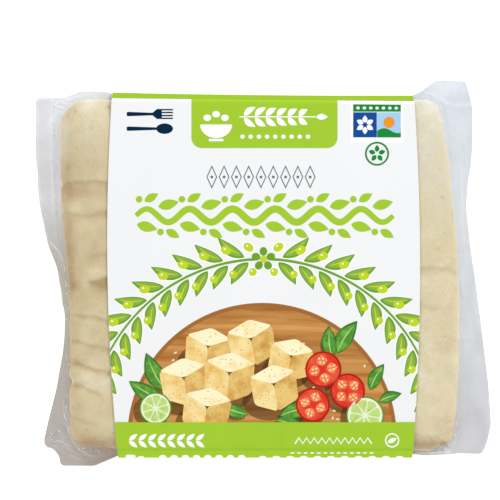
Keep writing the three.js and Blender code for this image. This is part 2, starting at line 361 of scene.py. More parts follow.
# Where that edge is worn or torn: place, size and depth.
NICKS = [
    (-54.6, 47.9, 3.4, 0.75), (-57.4, 45.2, 1.3, 0.35), (-55.6, 48.4, 1, 0.3),
    (-58.2, 38, 0.9, 0.35), (-55.9, -3.2, 0.9, 0.4), (-55.9, -8.4, 0.7, 0.2),
    (-55.6, -30.4, 0.8, 0.5), (-52, -50.4, 5, 0.8), (-46, -50.9, 5, 1), (50.9, -50.5, 1.6, 1),
    (52.6, -49.4, 0.6, 0.5), (45, -50.9, 2.5, 0.3), (56, 6.5, 0.8, 0.25), (56.6, -19.6, 0.8, 0.3),
    (52.4, 46.6, 1.4, 0.4),
]

# Soft patches of the curd: place, radii, and how much paler or deeper it is there. Partly the
# curd's own mottling, partly painted light: painted shade below the creases, and painted
# highlights on the bulges under them and at the top left.
MOTTLE_AND_LIGHT_PATCHES = [
    (-50, 46, 9, 4, 0.45), (-47, 38, 5, 6, 0.1), (-56.5, 30.8, 1.5, 2.2, -0.8),
    (-49, 31, 5, 2.5, -0.3), (-51.6, 23.6, 4.6, 2, -0.9), (-45.6, 23.8, 3, 1.8, -0.3),
    (-54.2, 22.6, 1.6, 1.6, -0.4), (-53.9, 19.1, 2, 1.9, 1), (-47, 17.2, 4, 1.6, -0.7),
    (-50, -46.4, 6, 2, -0.15), (-55.2, 6, 1.7, 8, -0.8), (-47, 6.4, 4, 3.4, -0.6),
    (-47.5, 1.2, 3, 1.3, 0.8), (-45.9, -3.2, 2, 1.8, -1.6), (-54.4, -3.2, 1.5, 1.3, -1.3),
    (-51, -12.2, 7, 1.4, 0.25), (-50.2, -3, 1.6, 1.8, 0.5), (-51, -17, 4, 2, 0.15),
    (-46.5, -16.2, 2.4, 1.8, -0.4), (-52, -20.4, 6, 1.4, 0.3), (-47, -20.6, 3, 1.2, -0.4),
    (-53.8, -25, 2.4, 0.9, -0.9), (-53.6, -31.9, 1.8, 0.8, -0.9), (-51, -28.6, 5, 1.8, 0.6),
    (-46, -28.8, 3, 1.4, -0.2), (-51.6, -33.3, 2.8, 1.3, 0.45), (-48, -31.3, 5, 1.5, 0.55),
    (-49, -37, 6, 2.2, 0.25), (-52, -42.4, 5, 1.6, 0.1), (-49, -48.8, 9, 1.8, -1.4),
    (-55.6, 16, 1.2, 30, -0.25), (50, 46, 7, 6, 0.6), (52.5, 43.5, 1.6, 2.2, -0.25),
    (47, 25, 4, 14, 0.25), (49, 0.8, 4, 1.2, -0.25), (46.2, -2.4, 3, 2, 0.6), (49, -6, 6, 2.2, 0.2),
    (50, -9.4, 4, 1.4, -0.4), (46, -20.4, 2.4, 1.8, 0.45), (52.4, -21.4, 4, 1.8, -0.4),
    (54, -16, 2.5, 4, -0.2), (46.2, -29.4, 2.6, 2.6, 0.4), (53.6, -29, 2, 2.6, -0.3),
    (50, -40, 6, 3, 0.15), (52.8, -41.8, 3, 2.2, -0.6), (48, -46, 5, 1.2, 0.6),
    (47.5, -48.8, 5, 1.7, -1.2), (52.2, -48.6, 1.2, 0.7, -1.8), (-49.3, 49.6, 3.4, 2.2, 0.6),
    (-54.7, 47.4, 1.8, 2.4, -0.6), (-52.5, 49.6, 2, 0.9, -0.4),
]
SPOTS = [
    (-49, 42.2, 0.5), (-53.3, 36.6, 0.35), (47.8, 34.5, 0.3), (50.6, 7.5, 0.4),
    (-50.5, -44.6, 0.35), (-55.4, 47.7, 0.35), (-56.1, 45.8, 0.35), (-53.8, 47, 0.4),
    (52.4, -48.5, 0.5), (51.7, -48.9, 0.4),
]
# Where the film stands off the curd and veils it, with a painted sheen of the film on top: place,
# radii and how much.
VEILS_AND_SHEEN = [
    (-48.8, 50.2, 4.5, 2.4, 0.12), (46.5, 50.4, 5, 2.4, 0.2), (51.8, 47.6, 2, 1.4, 0.05),
    (-56.6, 40, 0.7, 9, 0.2), (-51.5, 39.5, 9, 5.5, 0.09),
]


def bell(x, y, at_x, at_y, wide, high):
    """1 at a place, falling off smoothly over these radii across and up."""
    return np.exp(-((x - at_x) / wide) ** 2 - ((y - at_y) / high) ** 2)


def lopsided(away, over, under):
    """1 on a line, falling off over one reach above it and over another one below it."""
    return np.exp(-((away / np.where(away > 0, over, under)) ** 2))


def crease_marks(x, y):
    """How far the creases dip the front, the painted shade along their bottom line, and their
    painted shade below it.
    """
    depth, dark, shade = np.zeros((3, *x.shape))
    for line, deep, over, under, line_painted_shade, line_shade in CREASES:
        line = np.array(line)
        (start, key), end = line[0], line[-1, 0]
        wander = sum(far * np.sin(often * x + out * key) for far, often, out in CREASE_WANDERS)
        above = y - np.interp(x, *line.T) + wander
        within = smoothstep(x, start - CREASE_ENDS, start + CREASE_WITHIN)
        within *= fade(x, end - CREASE_WITHIN, end + CREASE_ENDS)
        uneven = within * (0.8 + 0.2 * np.sin(1.3 * x + 5 * key))
        depth += deep * within * lopsided(above, over + 0.15, under + 0.3)
        dark += line_painted_shade * uneven * lopsided(above, 0.3, 0.95)
        shade += line_shade * uneven * lopsided(above, 0.4, 0.85 * under)
    bare = smoothstep(np.abs(x), *COVER_FADE)
    return CREASE_DEPTH * depth * bare, CREASE_LINE_SHADE * dark * bare, shade * bare


def edge_wear(run):
    """How far the curd's edge is worn in, at each point of the outline."""
    x, y = run.block.T
    wear = sum(depth * bell(x, y, at_x, at_y, size, size) for at_x, at_y, size, depth in NICKS)
    wear = wear + layered(np.column_stack([x, y, np.zeros(len(x))]), EDGE_ROUGHNESS)
    return wear * smoothstep(np.abs(x), *COVER_FADE)


def edge_bite(side, y):
    """How far the creases bite into the outline of one end."""
    bite = np.zeros_like(y)
    for line, deep, *_ in CREASES:
        edge_x, edge_y = line[0] if side < 0 else line[-1]
        if side * edge_x >= BITE_FROM:
            bite += BITE_SHARE * deep * np.exp(-(((y - edge_y) / BITE_REACH) ** 2))
    return bite


def crown(x, y):
    """The swell of the front."""
    return (CROWN["height"] * (1 - (x / CROWN["half_width"]) ** 2)
            * (1 - (y / CROWN["half_length"]) ** 2))


def rough(points, size, seed):
    """Smooth noise from about -1 to 1 at points in millimetres, with features of this size."""
    return np.array([noise.noise(Vector((x / size + seed, y / size, z / size)))
                     for x, y, z in points.reshape(-1, 3)]).reshape(points.shape[:-1])


def layered(points, layers):
    """Several layers of noise together: the size of their features, their seed and height."""
    return sum(height * rough(points, size, seed) for size, seed, height in layers)


# ---- meshes from primitives ----


def deselect():
    """Nothing is selected, and Blender is in object mode."""
    if bpy.context.object and bpy.context.object.mode != "OBJECT":
        bpy.ops.object.mode_set(mode="OBJECT")
    bpy.ops.object.select_all(action="DESELECT")


def select_only(piece):
    """A piece is active, and nothing else is selected."""
    deselect()
    bpy.context.view_layer.objects.active = piece
    piece.select_set(True)


def triples(items, key):
    """Three numbers for each vertex or face of a mesh, as an array."""
    values = np.empty(len(items) * 3, np.float32)
    items.foreach_get(key, values)
    return values.reshape(-1, 3).astype(float)


def places(piece):
    """A mesh's vertices as an array."""
    return triples(piece.data.vertices, "co")


def move_to(piece, points):
    """Puts a mesh's vertices at points in millimetres."""
    flat = (np.asarray(points) * MM).astype(np.float32).ravel()
    piece.data.vertices.foreach_set("co", flat)
    piece.data.update()


def named(name):
    """The new primitive, under its own name."""
    piece = bpy.context.object
    piece.name = name
    piece.data.name = name
    return piece


def ball(name, rings, front, back):
    """A sphere whose rings are moved to the given ones, from the front's middle to the back's.

    The piece comes with each vertex's ring and its place in that ring.
    """
    count, segments = rings.shape[:2]
    deselect()
    bpy.ops.mesh.primitive_uv_sphere_add(segments=segments, ring_count=count + 1, radius=1)
    piece = named(name)
    co = places(piece)
    ring = np.rint(np.arccos(np.clip(co[:, 2], -1, 1)) / math.pi * (count + 1)).astype(int) - 1
    turn = np.arctan2(co[:, 1], co[:, 0]) % TAU
    segment = np.rint(turn / TAU * segments).astype(int) % segments
    nearest = np.clip(ring, 0, count - 1)
    points = rings[nearest, segment]
    points[ring < 0] = front
    points[ring >= count] = back
    move_to(piece, points)
    return piece, nearest, segment


def sheet(name, points, **values):
    """A grid whose vertices are moved to rows and columns of points, with values at each."""
    rows, columns = points.shape[:2]
    deselect()
    bpy.ops.mesh.primitive_grid_add(x_subdivisions=columns - 1, y_subdivisions=rows - 1, size=1)
    piece = named(name)
    co = places(piece)
    column = np.rint((co[:, 0] + 0.5) * (columns - 1)).astype(int)
    row = np.rint((co[:, 1] + 0.5) * (rows - 1)).astype(int)
    move_to(piece, points[row, column])
    keep_values(piece, **{key: numbers[row, column] for key, numbers in values.items()})
    return piece


def band(name, points):
    """A torus whose vertices are moved to a loop of closed sections."""
    major, minor = points.shape[:2]
    deselect()
    bpy.ops.mesh.primitive_torus_add(
        major_segments=major, minor_segments=minor, major_radius=1, minor_radius=0.5)
    piece = named(name)
    co = places(piece)
    turn = np.arctan2(co[:, 1], co[:, 0]) % TAU
    roll = np.arctan2(co[:, 2], np.hypot(co[:, 0], co[:, 1]) - 1) % TAU
    i = np.rint(turn / TAU * major).astype(int) % major
    j = np.rint(roll / TAU * minor).astype(int) % minor
    move_to(piece, points[i, j])
    face_outwards(piece)
    return piece


def face_outwards(piece):
    """Turns a closed mesh's faces outwards."""
    select_only(piece)
    bpy.ops.object.mode_set(mode="EDIT")
    bpy.ops.mesh.select_all(action="SELECT")
    bpy.ops.mesh.normals_make_consistent(inside=False)
    bpy.ops.object.mode_set(mode="OBJECT")


def thicken(piece, thickness, offset=0):
    """Gives a sheet its thickness in millimetres."""
    select_only(piece)
    solid = piece.modifiers.new("Thickness", "SOLIDIFY")
    solid.thickness = thickness * MM
    solid.offset = offset
    bpy.ops.object.modifier_apply(modifier=solid.name)


def smooth(piece, degrees):
    """Shades a piece smooth, apart from edges sharper than this."""
    select_only(piece)
    bpy.ops.object.shade_smooth_by_angle(angle=math.radians(degrees))


def curve_to_mesh(name, curve):
    """Turns a curve into a mesh piece."""
    piece = bpy.data.objects.new(name, curve)
    bpy.context.scene.collection.objects.link(piece)
    select_only(piece)
    bpy.ops.object.convert(target="MESH")
    return bpy.context.object


def normals_of(grid, wrap):
    """Unit normals of a grid of points whose rows go inwards and columns anticlockwise."""
    down = np.gradient(grid, axis=0)
    if wrap:
        across = (np.roll(grid, -1, axis=1) - np.roll(grid, 1, axis=1)) / 2
    else:
        across = np.gradient(grid, axis=1)
    normal = np.cross(down, across)
    return normal / np.maximum(np.linalg.norm(normal, axis=2, keepdims=True), 1e-9)


def keep_values(piece, **values):
    """Stores a number for each vertex under a name that materials read."""
    for name, numbers in values.items():
        layer = piece.data.attributes.new(name, "FLOAT", "POINT")
        layer.data.foreach_set("value", np.asarray(numbers, np.float32))


def finish_piece(piece, material, slot, *replaced):
    """Gives a piece its finish, and ties it to the frame."""
    piece.data.materials.clear()
    piece.data.materials.append(material)
    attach(piece, ROOT)
    if replaced:
        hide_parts(*replaced)
    return piece


def frame_shift():
    """What moves the outline's own coordinates into the frame's."""
    low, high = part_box("vacuum_pouch")
    middle = (low + high) / 2 / MM
    return np.array([middle.x - OUTLINE_MIDDLE[0], middle.y - OUTLINE_MIDDLE[1], 0])


SHIFT = frame_shift()


# ---- node helpers ----


class Finish:
    """A Principled material that is put together node by node."""

    def __init__(self, name, **values):
        self.material = bpy.data.materials.new(name)
        self.material.use_nodes = True
        self.tree = self.material.node_tree
        self.shader = self.tree.nodes["Principled BSDF"]
        self.set(**values)

    def feed(self, socket, value):
        """Links a socket to another one, or sets it to a plain value."""
        if isinstance(value, bpy.types.NodeSocket):
            self.tree.links.new(value, socket)
        else:
            socket.default_value = value

    def set(self, **values):
        for key, value in values.items():
            self.feed(self.shader.inputs[key.replace("_", " ")], value)

    def node(self, kind, inputs, **settings):
        node = self.tree.nodes.new("ShaderNode" + kind)
        for key, value in settings.items():
            setattr(node, key, value)
        for key, value in inputs.items():
            self.feed(node.inputs[key], value)
        return node

    def place(self):
        return self.node("TexCoord", {}).outputs["Object"]

    def noise(self, scale, detail=3, rough=0.55, place=None):
        inputs = {"Scale": scale, "Detail": detail, "Roughness": rough}
        inputs["Vector"] = place or self.place()
        return self.node("TexNoise", inputs).outputs["Fac"]

    def turned(self, angle, scale=(1, 1, 1)):
        inputs = {"Vector": self.place(), "Rotation": (0, 0, math.radians(angle)), "Scale": scale}
        return self.node("Mapping", inputs).outputs["Vector"]

    def span(self, value, low, high, to_low=0.0, to_high=1.0):
        inputs = {"Value": value, "From Min": low, "From Max": high,
                  "To Min": to_low, "To Max": to_high}
        return self.node("MapRange", inputs).outputs["Result"]

    def sum(self, a, b, operation="ADD"):
        node = self.node("Math", {0: a, 1: b}, operation=operation)
        return node.outputs["Value"]

    def times(self, a, b):
        return self.sum(a, b, "MULTIPLY")

    def value(self, name):
        """A number that keep_values stored under this name."""
        node = self.node("Attribute", {}, attribute_name=name)
        return node.outputs["Fac"]

    def mix(self, factor, a, b, mode="MIX"):
        inputs = {0: factor, 6: a, 7: b}
        node = self.node("Mix", inputs, data_type="RGBA", blend_type=mode)
        return node.outputs[2]

    def ramp(self, value, stops):
        """Colours at shares from 0 to 1 of a value, blended between."""
        node = self.node("ValToRGB", {"Fac": value})
        elements = node.color_ramp.elements
        while len(elements) < len(stops):
            elements.new(1.0)
        for element, (at, tint) in zip(elements, stops):
            element.position = at
            element.color = opaque(tint)
        return node.outputs["Color"]

    def stripes(self, x, y, slope, pitch):
        """Fine lines from -1 to 1, falling to the right for a slope of 1 and rising for -1."""
        across = self.sum(x, self.times(y, slope))
        phase = self.times(across, TAU / (math.sqrt(2) * pitch))
        wander = self.times(self.noise(130, 1), 5.0)
        return self.sum(self.sum(phase, wander), 0.0, "SINE")

    def bump(self, height, distance, strength=1.0, normal=None):
        inputs = {"Height": height, "Distance": distance, "Strength": strength}
        if normal:
            inputs["Normal"] = normal
        return self.node("Bump", inputs).outputs["Normal"]


# ---- settings ----


def colour(name, description, code):
    """A colour that a user may change."""
    return FloatVectorProperty(
        name=name, description=description, subtype="COLOR", size=3, min=0, max=1,
        default=linear(code))


def length(name, description, millimetres):
    """A length that a user may change."""
    return FloatProperty(
        name=name, description=description, default=millimetres * MM, min=0, unit="LENGTH",
        precision=5)


def share(name, description, value):
    """A share from 0 to 1 that a user may change."""
    return FloatProperty(
        name=name, description=description, default=value, min=0, max=1, subtype="FACTOR")


class TofuSettings(bpy.types.PropertyGroup):
    """The block of pressed tofu."""

    pale: colour("Pale curd", "The curd where it is palest", "F4F2EA")
    cream: colour("Cream curd", "The curd where it is dry and even", "E0D3AE")
    curd: colour("Curd", "The curd's own colour", "D2C299")
    # the ramp's darkest colour, which the curd's deepest tone and the painted shade along its ends,
    # bottom and creases both reach
    deep: colour("Deep curd", "The curd in its hollows and along its skin", "AB8B5E")
    # painted shade: the colour painted along the bottom line of a crease
    line: colour("Crease", "The bottom of a crease", "AC8B56")
    mottle: length("Mottle", "Height of the curd's small lumps", 0.08)


class FilmSettings(bpy.types.PropertyGroup):
    """The clear film and its seals."""

    # These tints are partly the film's own milky grey and partly painted shade: lighter at the top
    # and on the right, towards the light, and deeper at the left waist and low on the left, where
    # the film hangs away from it.
    left_top: colour("Left film, top", "The left seal's tint at its top", "EDEFF4")
    left_upper: colour("Left film, upper", "The left seal's tint above its waist", "EAEAEC")
    left_waist: colour("Left film, waist", "The left seal's tint at its waist", "AAA492")
    left_low: colour("Left film, low", "The left seal's tint below its waist", "9B8F80")
    left_foot: colour("Left film, foot", "The left seal's tint at its foot", "C6BEB8")
    right_top: colour("Right film, top", "The right seal's tint at its top", "E1E8F0")
    right_middle: colour("Right film, middle", "The right seal's tint at its middle", "CED3D7")
    right_foot: colour("Right film, foot", "The right seal's tint at its foot", "D8D9DF")
    seal_cover: share("Seal cover", "How much the milky seals hide", 0.8)
    skin_cover: share("Skin cover", "How much the film over the tofu hides", 0.05)
    ridge_pitch: length("Ridge pitch", "Spacing of the ridges pressed into the left seal", 0.78)
    low_pitch: length("Low ridge pitch", "Spacing of the ridges in the seal's lower part", 0.73)
    ridge_height: length("Ridge height", "Height of those ridges", 0.05)
    thickness: length("Thickness", "Thickness of the sealed film", 0.12)


class SleeveSettings(bpy.types.PropertyGroup):
    """The paper sleeve and its print."""

    paper: colour("Paper", "The coated paper", "F2F3F4")
    green: colour("Leaf green", "The main printed colour", "A4CD37")
    # painted shade: a darker copy of the leaf green for the top panel, which leans towards the key
    # light
    shaded_wall_green: colour("Wall green", "The same green on the wall towards the key light", "97BC30")
    ink_step: length("Ink step", "Height of one layer of ink over the next", 0.035)


class StageSettings(bpy.types.PropertyGroup):
    """The floor, the light and the camera."""

    floor: colour("Floor", "The plain pale floor", "FAFAFA")
    distance: length("Camera distance", "From the camera to the pack", 3000)
    view_width: length("View width", "What the picture spans at the pack's mid height", 144.35)


# ---- the tofu block ----

OUTLINE_STEP = 0.3
TOFU_GAP = 0.12  # between the curd and the film's outer face
POLE_GAP = 0.3  # the same in the middle of the front and of the back
CREASE_SHADE = 0.24
PAINTED_SHEEN = 0.28  # how much a painted sheen of the film whitens the curd towards its top right
# How pale the curd is along each bare end, at heights on its front: its own tone, with painted
# shade that makes the left end darker than the right and both ends darker at the bottom edge.
LEFT_TONES_AND_SHADE = ((-51, -47, -43, -37, -30, -22, -12, -4, 8, 20, 33, 40, 50),
              (0.15, 0.52, 0.62, 0.60, 0.64, 0.60, 0.64, 0.48, 0.57, 0.52, 0.48, 0.55, 0.62))
RIGHT_TONES_AND_SHADE = ((-51, -47, -40, -30, -10, 0, 15, 30, 50),
               (0.35, 0.60, 0.68, 0.72, 0.68, 0.64, 0.60, 0.62, 0.60))
# Painted shade along both ends, where the rounded edge turns away from the light: how much deeper
# the tone is there, how far in, and how much more low down.
LEFT_EDGE_SHADE = {"deeper": 0.12, "reach": 2.2, "low": 0.24}
RIGHT_EDGE_SHADE = {"deeper": 0.12, "reach": 0.9}
PATCH_TONE = 0.25  # what a patch of 1 adds to the tone
SPOT_TONE = 0.18  # a spot darkens the curd, and also shows as the bottom of a crease does
SPOT_LINE = 0.2
MOST_LINE = 0.75
MOST_VEIL = 0.8
# Layers of unevenness: the size of their features, their seed and height.
TONE_LAYERS = ((5.5, 41.0, 0.12), (2.2, 63.0, 0.06))
LUMP_LAYERS = ((5.5, 3.1, 1.1), (1.9, 11.7, 0.75))
PITS = {"size": 1.1, "seed": 27.3, "spread": 0.38, "depth": 1.2}
# Insets of the block's rings from its outline, and the levels of its wall's rings.
FRONT_INSETS = [48, 40, 30, 23, 19, 17, *np.arange(16, 3, -0.42), *np.linspace(2.9, 0, 13)[:-1]]
BACK_INSETS = [0.25, 0.6, 1.1, 1.8, 2.6, 3.5, 4.6, 6, 8, 10.5, 14, 18, 24, 32, 42]
WALL_LEVELS = [1.0, 0.75, 0.5, 0.25, 0, -0.25, -0.5, -0.75, -1.0]


def half_height(inset, reach):
    """Half the block's thickness at an inset from its outline."""
    rise = np.sqrt(1 - np.maximum(0, 1 - inset / reach) ** 2)
    return WALL + (HALF_THICKNESS - WALL) * rise


def face_ring(run, inset, facing):
    """A ring of the block's front or back, inside its outline by an inset."""
    xy = run.block * (1 - inset / CENTRE_REACH)
    swell = crown(*xy.T) * smoothstep(inset, 0, 2) if facing > 0 else 0
    z = MID_Z + facing * half_height(inset, run.reach) + swell
    return np.column_stack([xy, z])


def wall_ring(run, level):
    """A ring of the block's upright wall."""
    return np.column_stack([run.block, np.full(len(run.block), MID_Z + WALL * level)])


def lumps(grid, mottle):
    """The curd's small lumps and pits, along the normal."""
    pits = np.minimum(0, rough(grid, PITS["size"], PITS["seed"]) + PITS["spread"])
    return mottle / MM * (layered(grid, LUMP_LAYERS) + PITS["depth"] * pits)


def spots_at(x, y):
    """How much small dark spots show at points of the front."""
    return sum(bell(x, y, at_x, at_y, size, size) for at_x, at_y, size in SPOTS)


def tone_at(points):
    """How pale the curd is at points of the front: its own tone, patches and unevenness, with
    painted shade and highlights in its tones and patches, and painted shade along its ends.
    """
    x, y = points[..., 0], points[..., 1]
    side = smoothstep(x, -30, 30)
    tone = np.interp(y, *LEFT_TONES_AND_SHADE) * (1 - side) + np.interp(y, *RIGHT_TONES_AND_SHADE) * side
    for *place, amount in MOTTLE_AND_LIGHT_PATCHES:
        tone = tone + PATCH_TONE * amount * bell(x, y, *place)
    tone = tone - SPOT_TONE * spots_at(x, y)
    # painted shade along both ends, where the rounded edge turns away from the light
    deeper = LEFT_EDGE_SHADE["deeper"] + LEFT_EDGE_SHADE["low"] * smoothstep(-y, -40, -22)
    inset = np.maximum(0, x - left_end(y))
    tone = tone - deeper * np.exp(-inset / LEFT_EDGE_SHADE["reach"]) * (1 - side)
    inset = np.maximum(0, right_end(y) - x)
    tone = tone - RIGHT_EDGE_SHADE["deeper"] * np.exp(-inset / RIGHT_EDGE_SHADE["reach"]) * side
    return tone + layered(points, TONE_LAYERS) * (1 - 0.4 * side)


def veil_at(x, y):
    """How much the film's veil and its painted sheen whiten the curd at points of the front."""
    veil = PAINTED_SHEEN * smoothstep(y, 0, 46) * smoothstep(x, 0, 40)
    for *place, amount in VEILS_AND_SHEEN:
        veil = veil + amount * bell(x, y, *place)
    return np.clip(veil, 0, MOST_VEIL)


def tofu_rings(run, mottle):
    """All rings of the block with its creases, lumps and worn edge, and the painted shade of its
    creases.
    """
    front = [face_ring(run, inset, 1) for inset in FRONT_INSETS]
    walls = [wall_ring(run, level) for level in WALL_LEVELS]
    back = [face_ring(run, inset, -1) for inset in BACK_INSETS]
    rings = np.array([*front, *walls, *back])
    normal = normals_of(rings, wrap=True)
    depth, dark, shade = crease_marks(rings[..., 0], rings[..., 1])
    upper = smoothstep(rings[..., 2], MID_Z, MID_Z + WALL)
    lift = lumps(rings, mottle) - depth * upper - TOFU_GAP
    return rings + normal * lift[..., None], dark * upper, shade * upper


def tofu_material(settings):
    """Pressed curd: cream, mottled, with the mark of the cloth and small pores, and the painted
    shade, highlights and sheen that the block's stored values carry.
    """
    finish = Finish("pressed_curd", Roughness=0.5, Specular_IOR_Level=0.3, Subsurface_Weight=0.1,
                    Subsurface_Scale=0.003, Subsurface_Radius=(1.0, 0.7, 0.4))
    tone = finish.value("tone")
    grain = finish.span(finish.noise(330, 4, 0.6), 0.3, 0.7, -0.05, 0.05)
    fleck = finish.span(finish.noise(1500, 2), 0.35, 0.65, -0.035, 0.035)
    cloth = finish.sum(*(finish.node("TexWave", {
        "Vector": finish.turned(angle), "Scale": scale, "Distortion": distortion, "Detail": 2.0,
        "Detail Scale": 1.5}, bands_direction="X").outputs["Fac"]
        for angle, scale, distortion in ((45, 340.0, 3.5), (-43, 300.0, 4.0))))
    worn_off = finish.span(finish.noise(75, 2), 0.4, 0.65, 0.15, 1.0)
    cloth_tone = finish.times(finish.span(cloth, 0, 2, -0.04, 0.04), worn_off)
    tone = finish.sum(finish.sum(tone, grain), finish.sum(fleck, cloth_tone))
    # the tone already holds painted shade and highlights, which this ramp turns into colour
    base = finish.ramp(tone, [(0, settings.deep), (0.5, settings.curd), (0.72, settings.cream),
                              (1, settings.pale)])
    # the film's veil and its painted sheen: a bluish white laid over the curd
    base = finish.mix(finish.value("veil"), base, paint("D9E6EB"))
    warm = finish.span(finish.noise(120, 3), 0.45, 0.75, 0.0, 0.25)
    base = finish.mix(warm, base, paint("DCC48B"))
    # painted shade along the creases' bottom line, together with the small dark spots
    base = finish.mix(finish.value("crease"), base, opaque(settings.line))
    specks = finish.span(finish.noise(900, 1, 0.5), 0.70, 0.76, 0.0, 0.28)
    base = finish.mix(specks, base, paint("A88A5A"))
    relief = finish.sum(finish.times(cloth, worn_off), finish.noise(1100, 3))
    finish.set(Base_Color=base, Normal=finish.bump(relief, 0.00009, 0.4))
    return finish.material


class MESH_OT_pressed_tofu(bpy.types.Operator):
    """Makes the block of pressed tofu, with its creases, lumps, uneven colour and painted shade"""

    bl_idname = "mesh.pressed_tofu"
    bl_label = "Pressed tofu"

    def execute(self, context):
        settings = context.scene.tofu_settings
        run = worn(whole_outline(OUTLINE_STEP))
        rings, dark, shade = tofu_rings(run, settings.mottle)
        front = SHIFT + (0, 0, FRONT_Z - POLE_GAP)
        back = SHIFT + (0, 0, BACK_Z + POLE_GAP)
        piece, ring, segment = ball("pressed_tofu", rings + SHIFT, front, back)
        # tone holds the curd's tone with its painted shade and highlights; line is the painted
        # shade along the creases' bottom, with the small dark spots
        tone = tone_at(rings[ring, segment]) - CREASE_SHADE * shade[ring, segment]
        x, y = rings[ring, segment][:, :2].T
        line = np.clip(dark[ring, segment] + SPOT_LINE * spots_at(x, y), 0, MOST_LINE)
        keep_values(piece, tone=tone, crease=line, veil=veil_at(x, y))
        smooth(piece, 60)
        finish_piece(piece, tofu_material(settings), "film_over_tofu", "vacuum_pouch")
        return {"FINISHED"}


# ---- the film ----

FILM_HALF = 0.07  # half of what the two layers of film take up where they lie together
WEB_LENGTH = 0.62  # how soon, and how sharply, they come together outside the block
WEB_CURVE = 1.2
WEB_STEPS = 12
CREST = 2.3  # the two layers of film meet this far from the block
SKIN_SHARE = 0.96  # the skin ends before the film's cut edge
SEAL_START = -0.35  # the flat film starts this far inside the block's edge
SEAL_COLUMNS = 50
SEAL_STEPS = {"left": 0.18, "right": 0.3}
# The left seal's ridged strip: its two sides, from the film's cut edge, and the limits in x or y
# between which it widens, fades, or turns from rising ridges to falling ones.
RIDGES = {
    "sides": (0.95, 4.8), "outer_fade": 0.15, "inner_fade": 0.2,
    "widens": 2.2, "widens_below": (44, 49), "corner_x": (-60.9, -60.5), "corner_y": (38, 42),
    "faint": 0.8, "faint_inwards": (-57, -50),
    "waist_faint": 0.65, "waist_low": (-27, -21), "waist_high": (-3, 4),
    "ear_below": (46.5, 48.5), "ear_inwards": (-62, -60.5), "falling_above": (17, 25),
    "rising_below": (29, 37), "rising_stronger": (5, 14),
}
SEAM_FROM_EDGE = 6.4
SEAM_WIDTH = 0.16
SEAM_SHADE = 0.32
SEAM_HEIGHT = 0.05
# Layers of unevenness: the size of their features, their seed and height.
WEB_LAYERS = ((2.4, 7.7, 0.12),)
FLAT_LAYERS = ((9, 5.5, 0.2),)
GATHER_LAYERS = ((1.5, 15.5, 0.16),)
GATHER_STRETCH = (2.6, 0.6, 1)  # the film's gathers next to the block run out from it
FINE_LAYERS = ((1.3, 25.5, 0.03),)
MOST_TINT = 0.9
TINT_REACH = 56  # the tints below are set along the pack's height, this far up and down
LEFT_TINTS_AT = (0.09, 0.32, 0.5, 0.69, 0.87)
RIGHT_TINTS_AT = (0.1, 0.6, 0.9)
# painted highlight and painted shade on the left seal's ridges
RIDGE_HIGHLIGHT = 0.17
RIDGE_SHADE = 0.2


def web_half(distance):
    """Half the opening between the two layers of film, at a distance from the block."""
    return FILM_HALF + (WALL - FILM_HALF) * np.exp(-((distance / WEB_LENGTH) ** WEB_CURVE))


def film_ring(run, distance, facing):
    """A ring of the film outside the block, at a distance from it."""
    part = np.minimum(distance / run.length, SKIN_SHARE)
    xy = run.block + (run.film - run.block) * part[:, None]
    z = MID_Z - run.drop * part + facing * web_half(part * run.length)
    return np.column_stack([xy, z])


def skin_rings(run, mottle):
    """The film over the whole block, out to where its two layers meet."""
    distances = CREST * (np.arange(WEB_STEPS) + 1) / WEB_STEPS
    front = [face_ring(run, inset, 1) for inset in [*FRONT_INSETS, 0]]
    back = [face_ring(run, inset, -1) for inset in [0, *BACK_INSETS]]
    web_front = [film_ring(run, d, 1) for d in distances]
    web_back = [film_ring(run, d, -1) for d in distances[::-1]]
    rings = np.array([*front, *web_front, *web_back, *back])
    normal = normals_of(rings, wrap=True)
    depth = crease_marks(rings[..., 0], rings[..., 1])[0]
    ring = np.arange(len(rings))[:, None] - len(front)
    lift = (ring < 0) * (lumps(rings, mottle) - depth)
    wrinkle = ((ring >= 0) & (ring < 2 * WEB_STEPS)) * layered(rings, WEB_LAYERS)
    return rings + normal * (lift + wrinkle)[..., None]


def ridged(flange, from_edge, x, y):
    """Where the left seal has ridges that fall to the right, and where they rise."""
    if flange["side"] > 0:
        return np.zeros((2, *from_edge.shape))
    near, far = RIDGES["sides"]
    far = far + RIDGES["widens"] * smoothstep(-y, *RIDGES["widens_below"])
    strip = smoothstep(from_edge, near - RIDGES["outer_fade"], near + RIDGES["outer_fade"])
    strip = strip * fade(from_edge - far, -RIDGES["inner_fade"], RIDGES["inner_fade"])
    corner = smoothstep(x, *RIDGES["corner_x"]) * smoothstep(y, *RIDGES["corner_y"])
    inwards = smoothstep(x, *RIDGES["faint_inwards"])
    waist = smoothstep(y, *RIDGES["waist_low"]) * fade(y, *RIDGES["waist_high"])
    strip = strip * (1 - corner) * (1 - RIDGES["faint"] * inwards)
    strip = strip * (1 - RIDGES["waist_faint"] * waist)
    ear = smoothstep(-y, *RIDGES["ear_below"]) * smoothstep(x, *RIDGES["ear_inwards"])
    falling = 0.75 * np.maximum(smoothstep(y, *RIDGES["falling_above"]), ear)
    rising = fade(y, *RIDGES["rising_below"]) * (1 - ear)
    rising = rising * (0.75 + 0.6 * smoothstep(y, *RIDGES["rising_stronger"]))
    return np.stack([strip * falling, strip * rising])


def seam_line(flange, from_edge, y):
    """The thin broken line where the left seal begins."""
    if flange["side"] > 0:
        return np.zeros_like(from_edge)
    wander = SEAM_FROM_EDGE + 0.25 * np.sin(0.35 * y) + 0.1 * np.sin(1.7 * y)
    broken = 0.55 + 0.45 * np.sin(2.6 * y + 2 * np.sin(0.9 * y))
    line = np.exp(-(((from_edge - wander) / SEAM_WIDTH) ** 2))
    return broken * line * smoothstep(y, -30, -10)


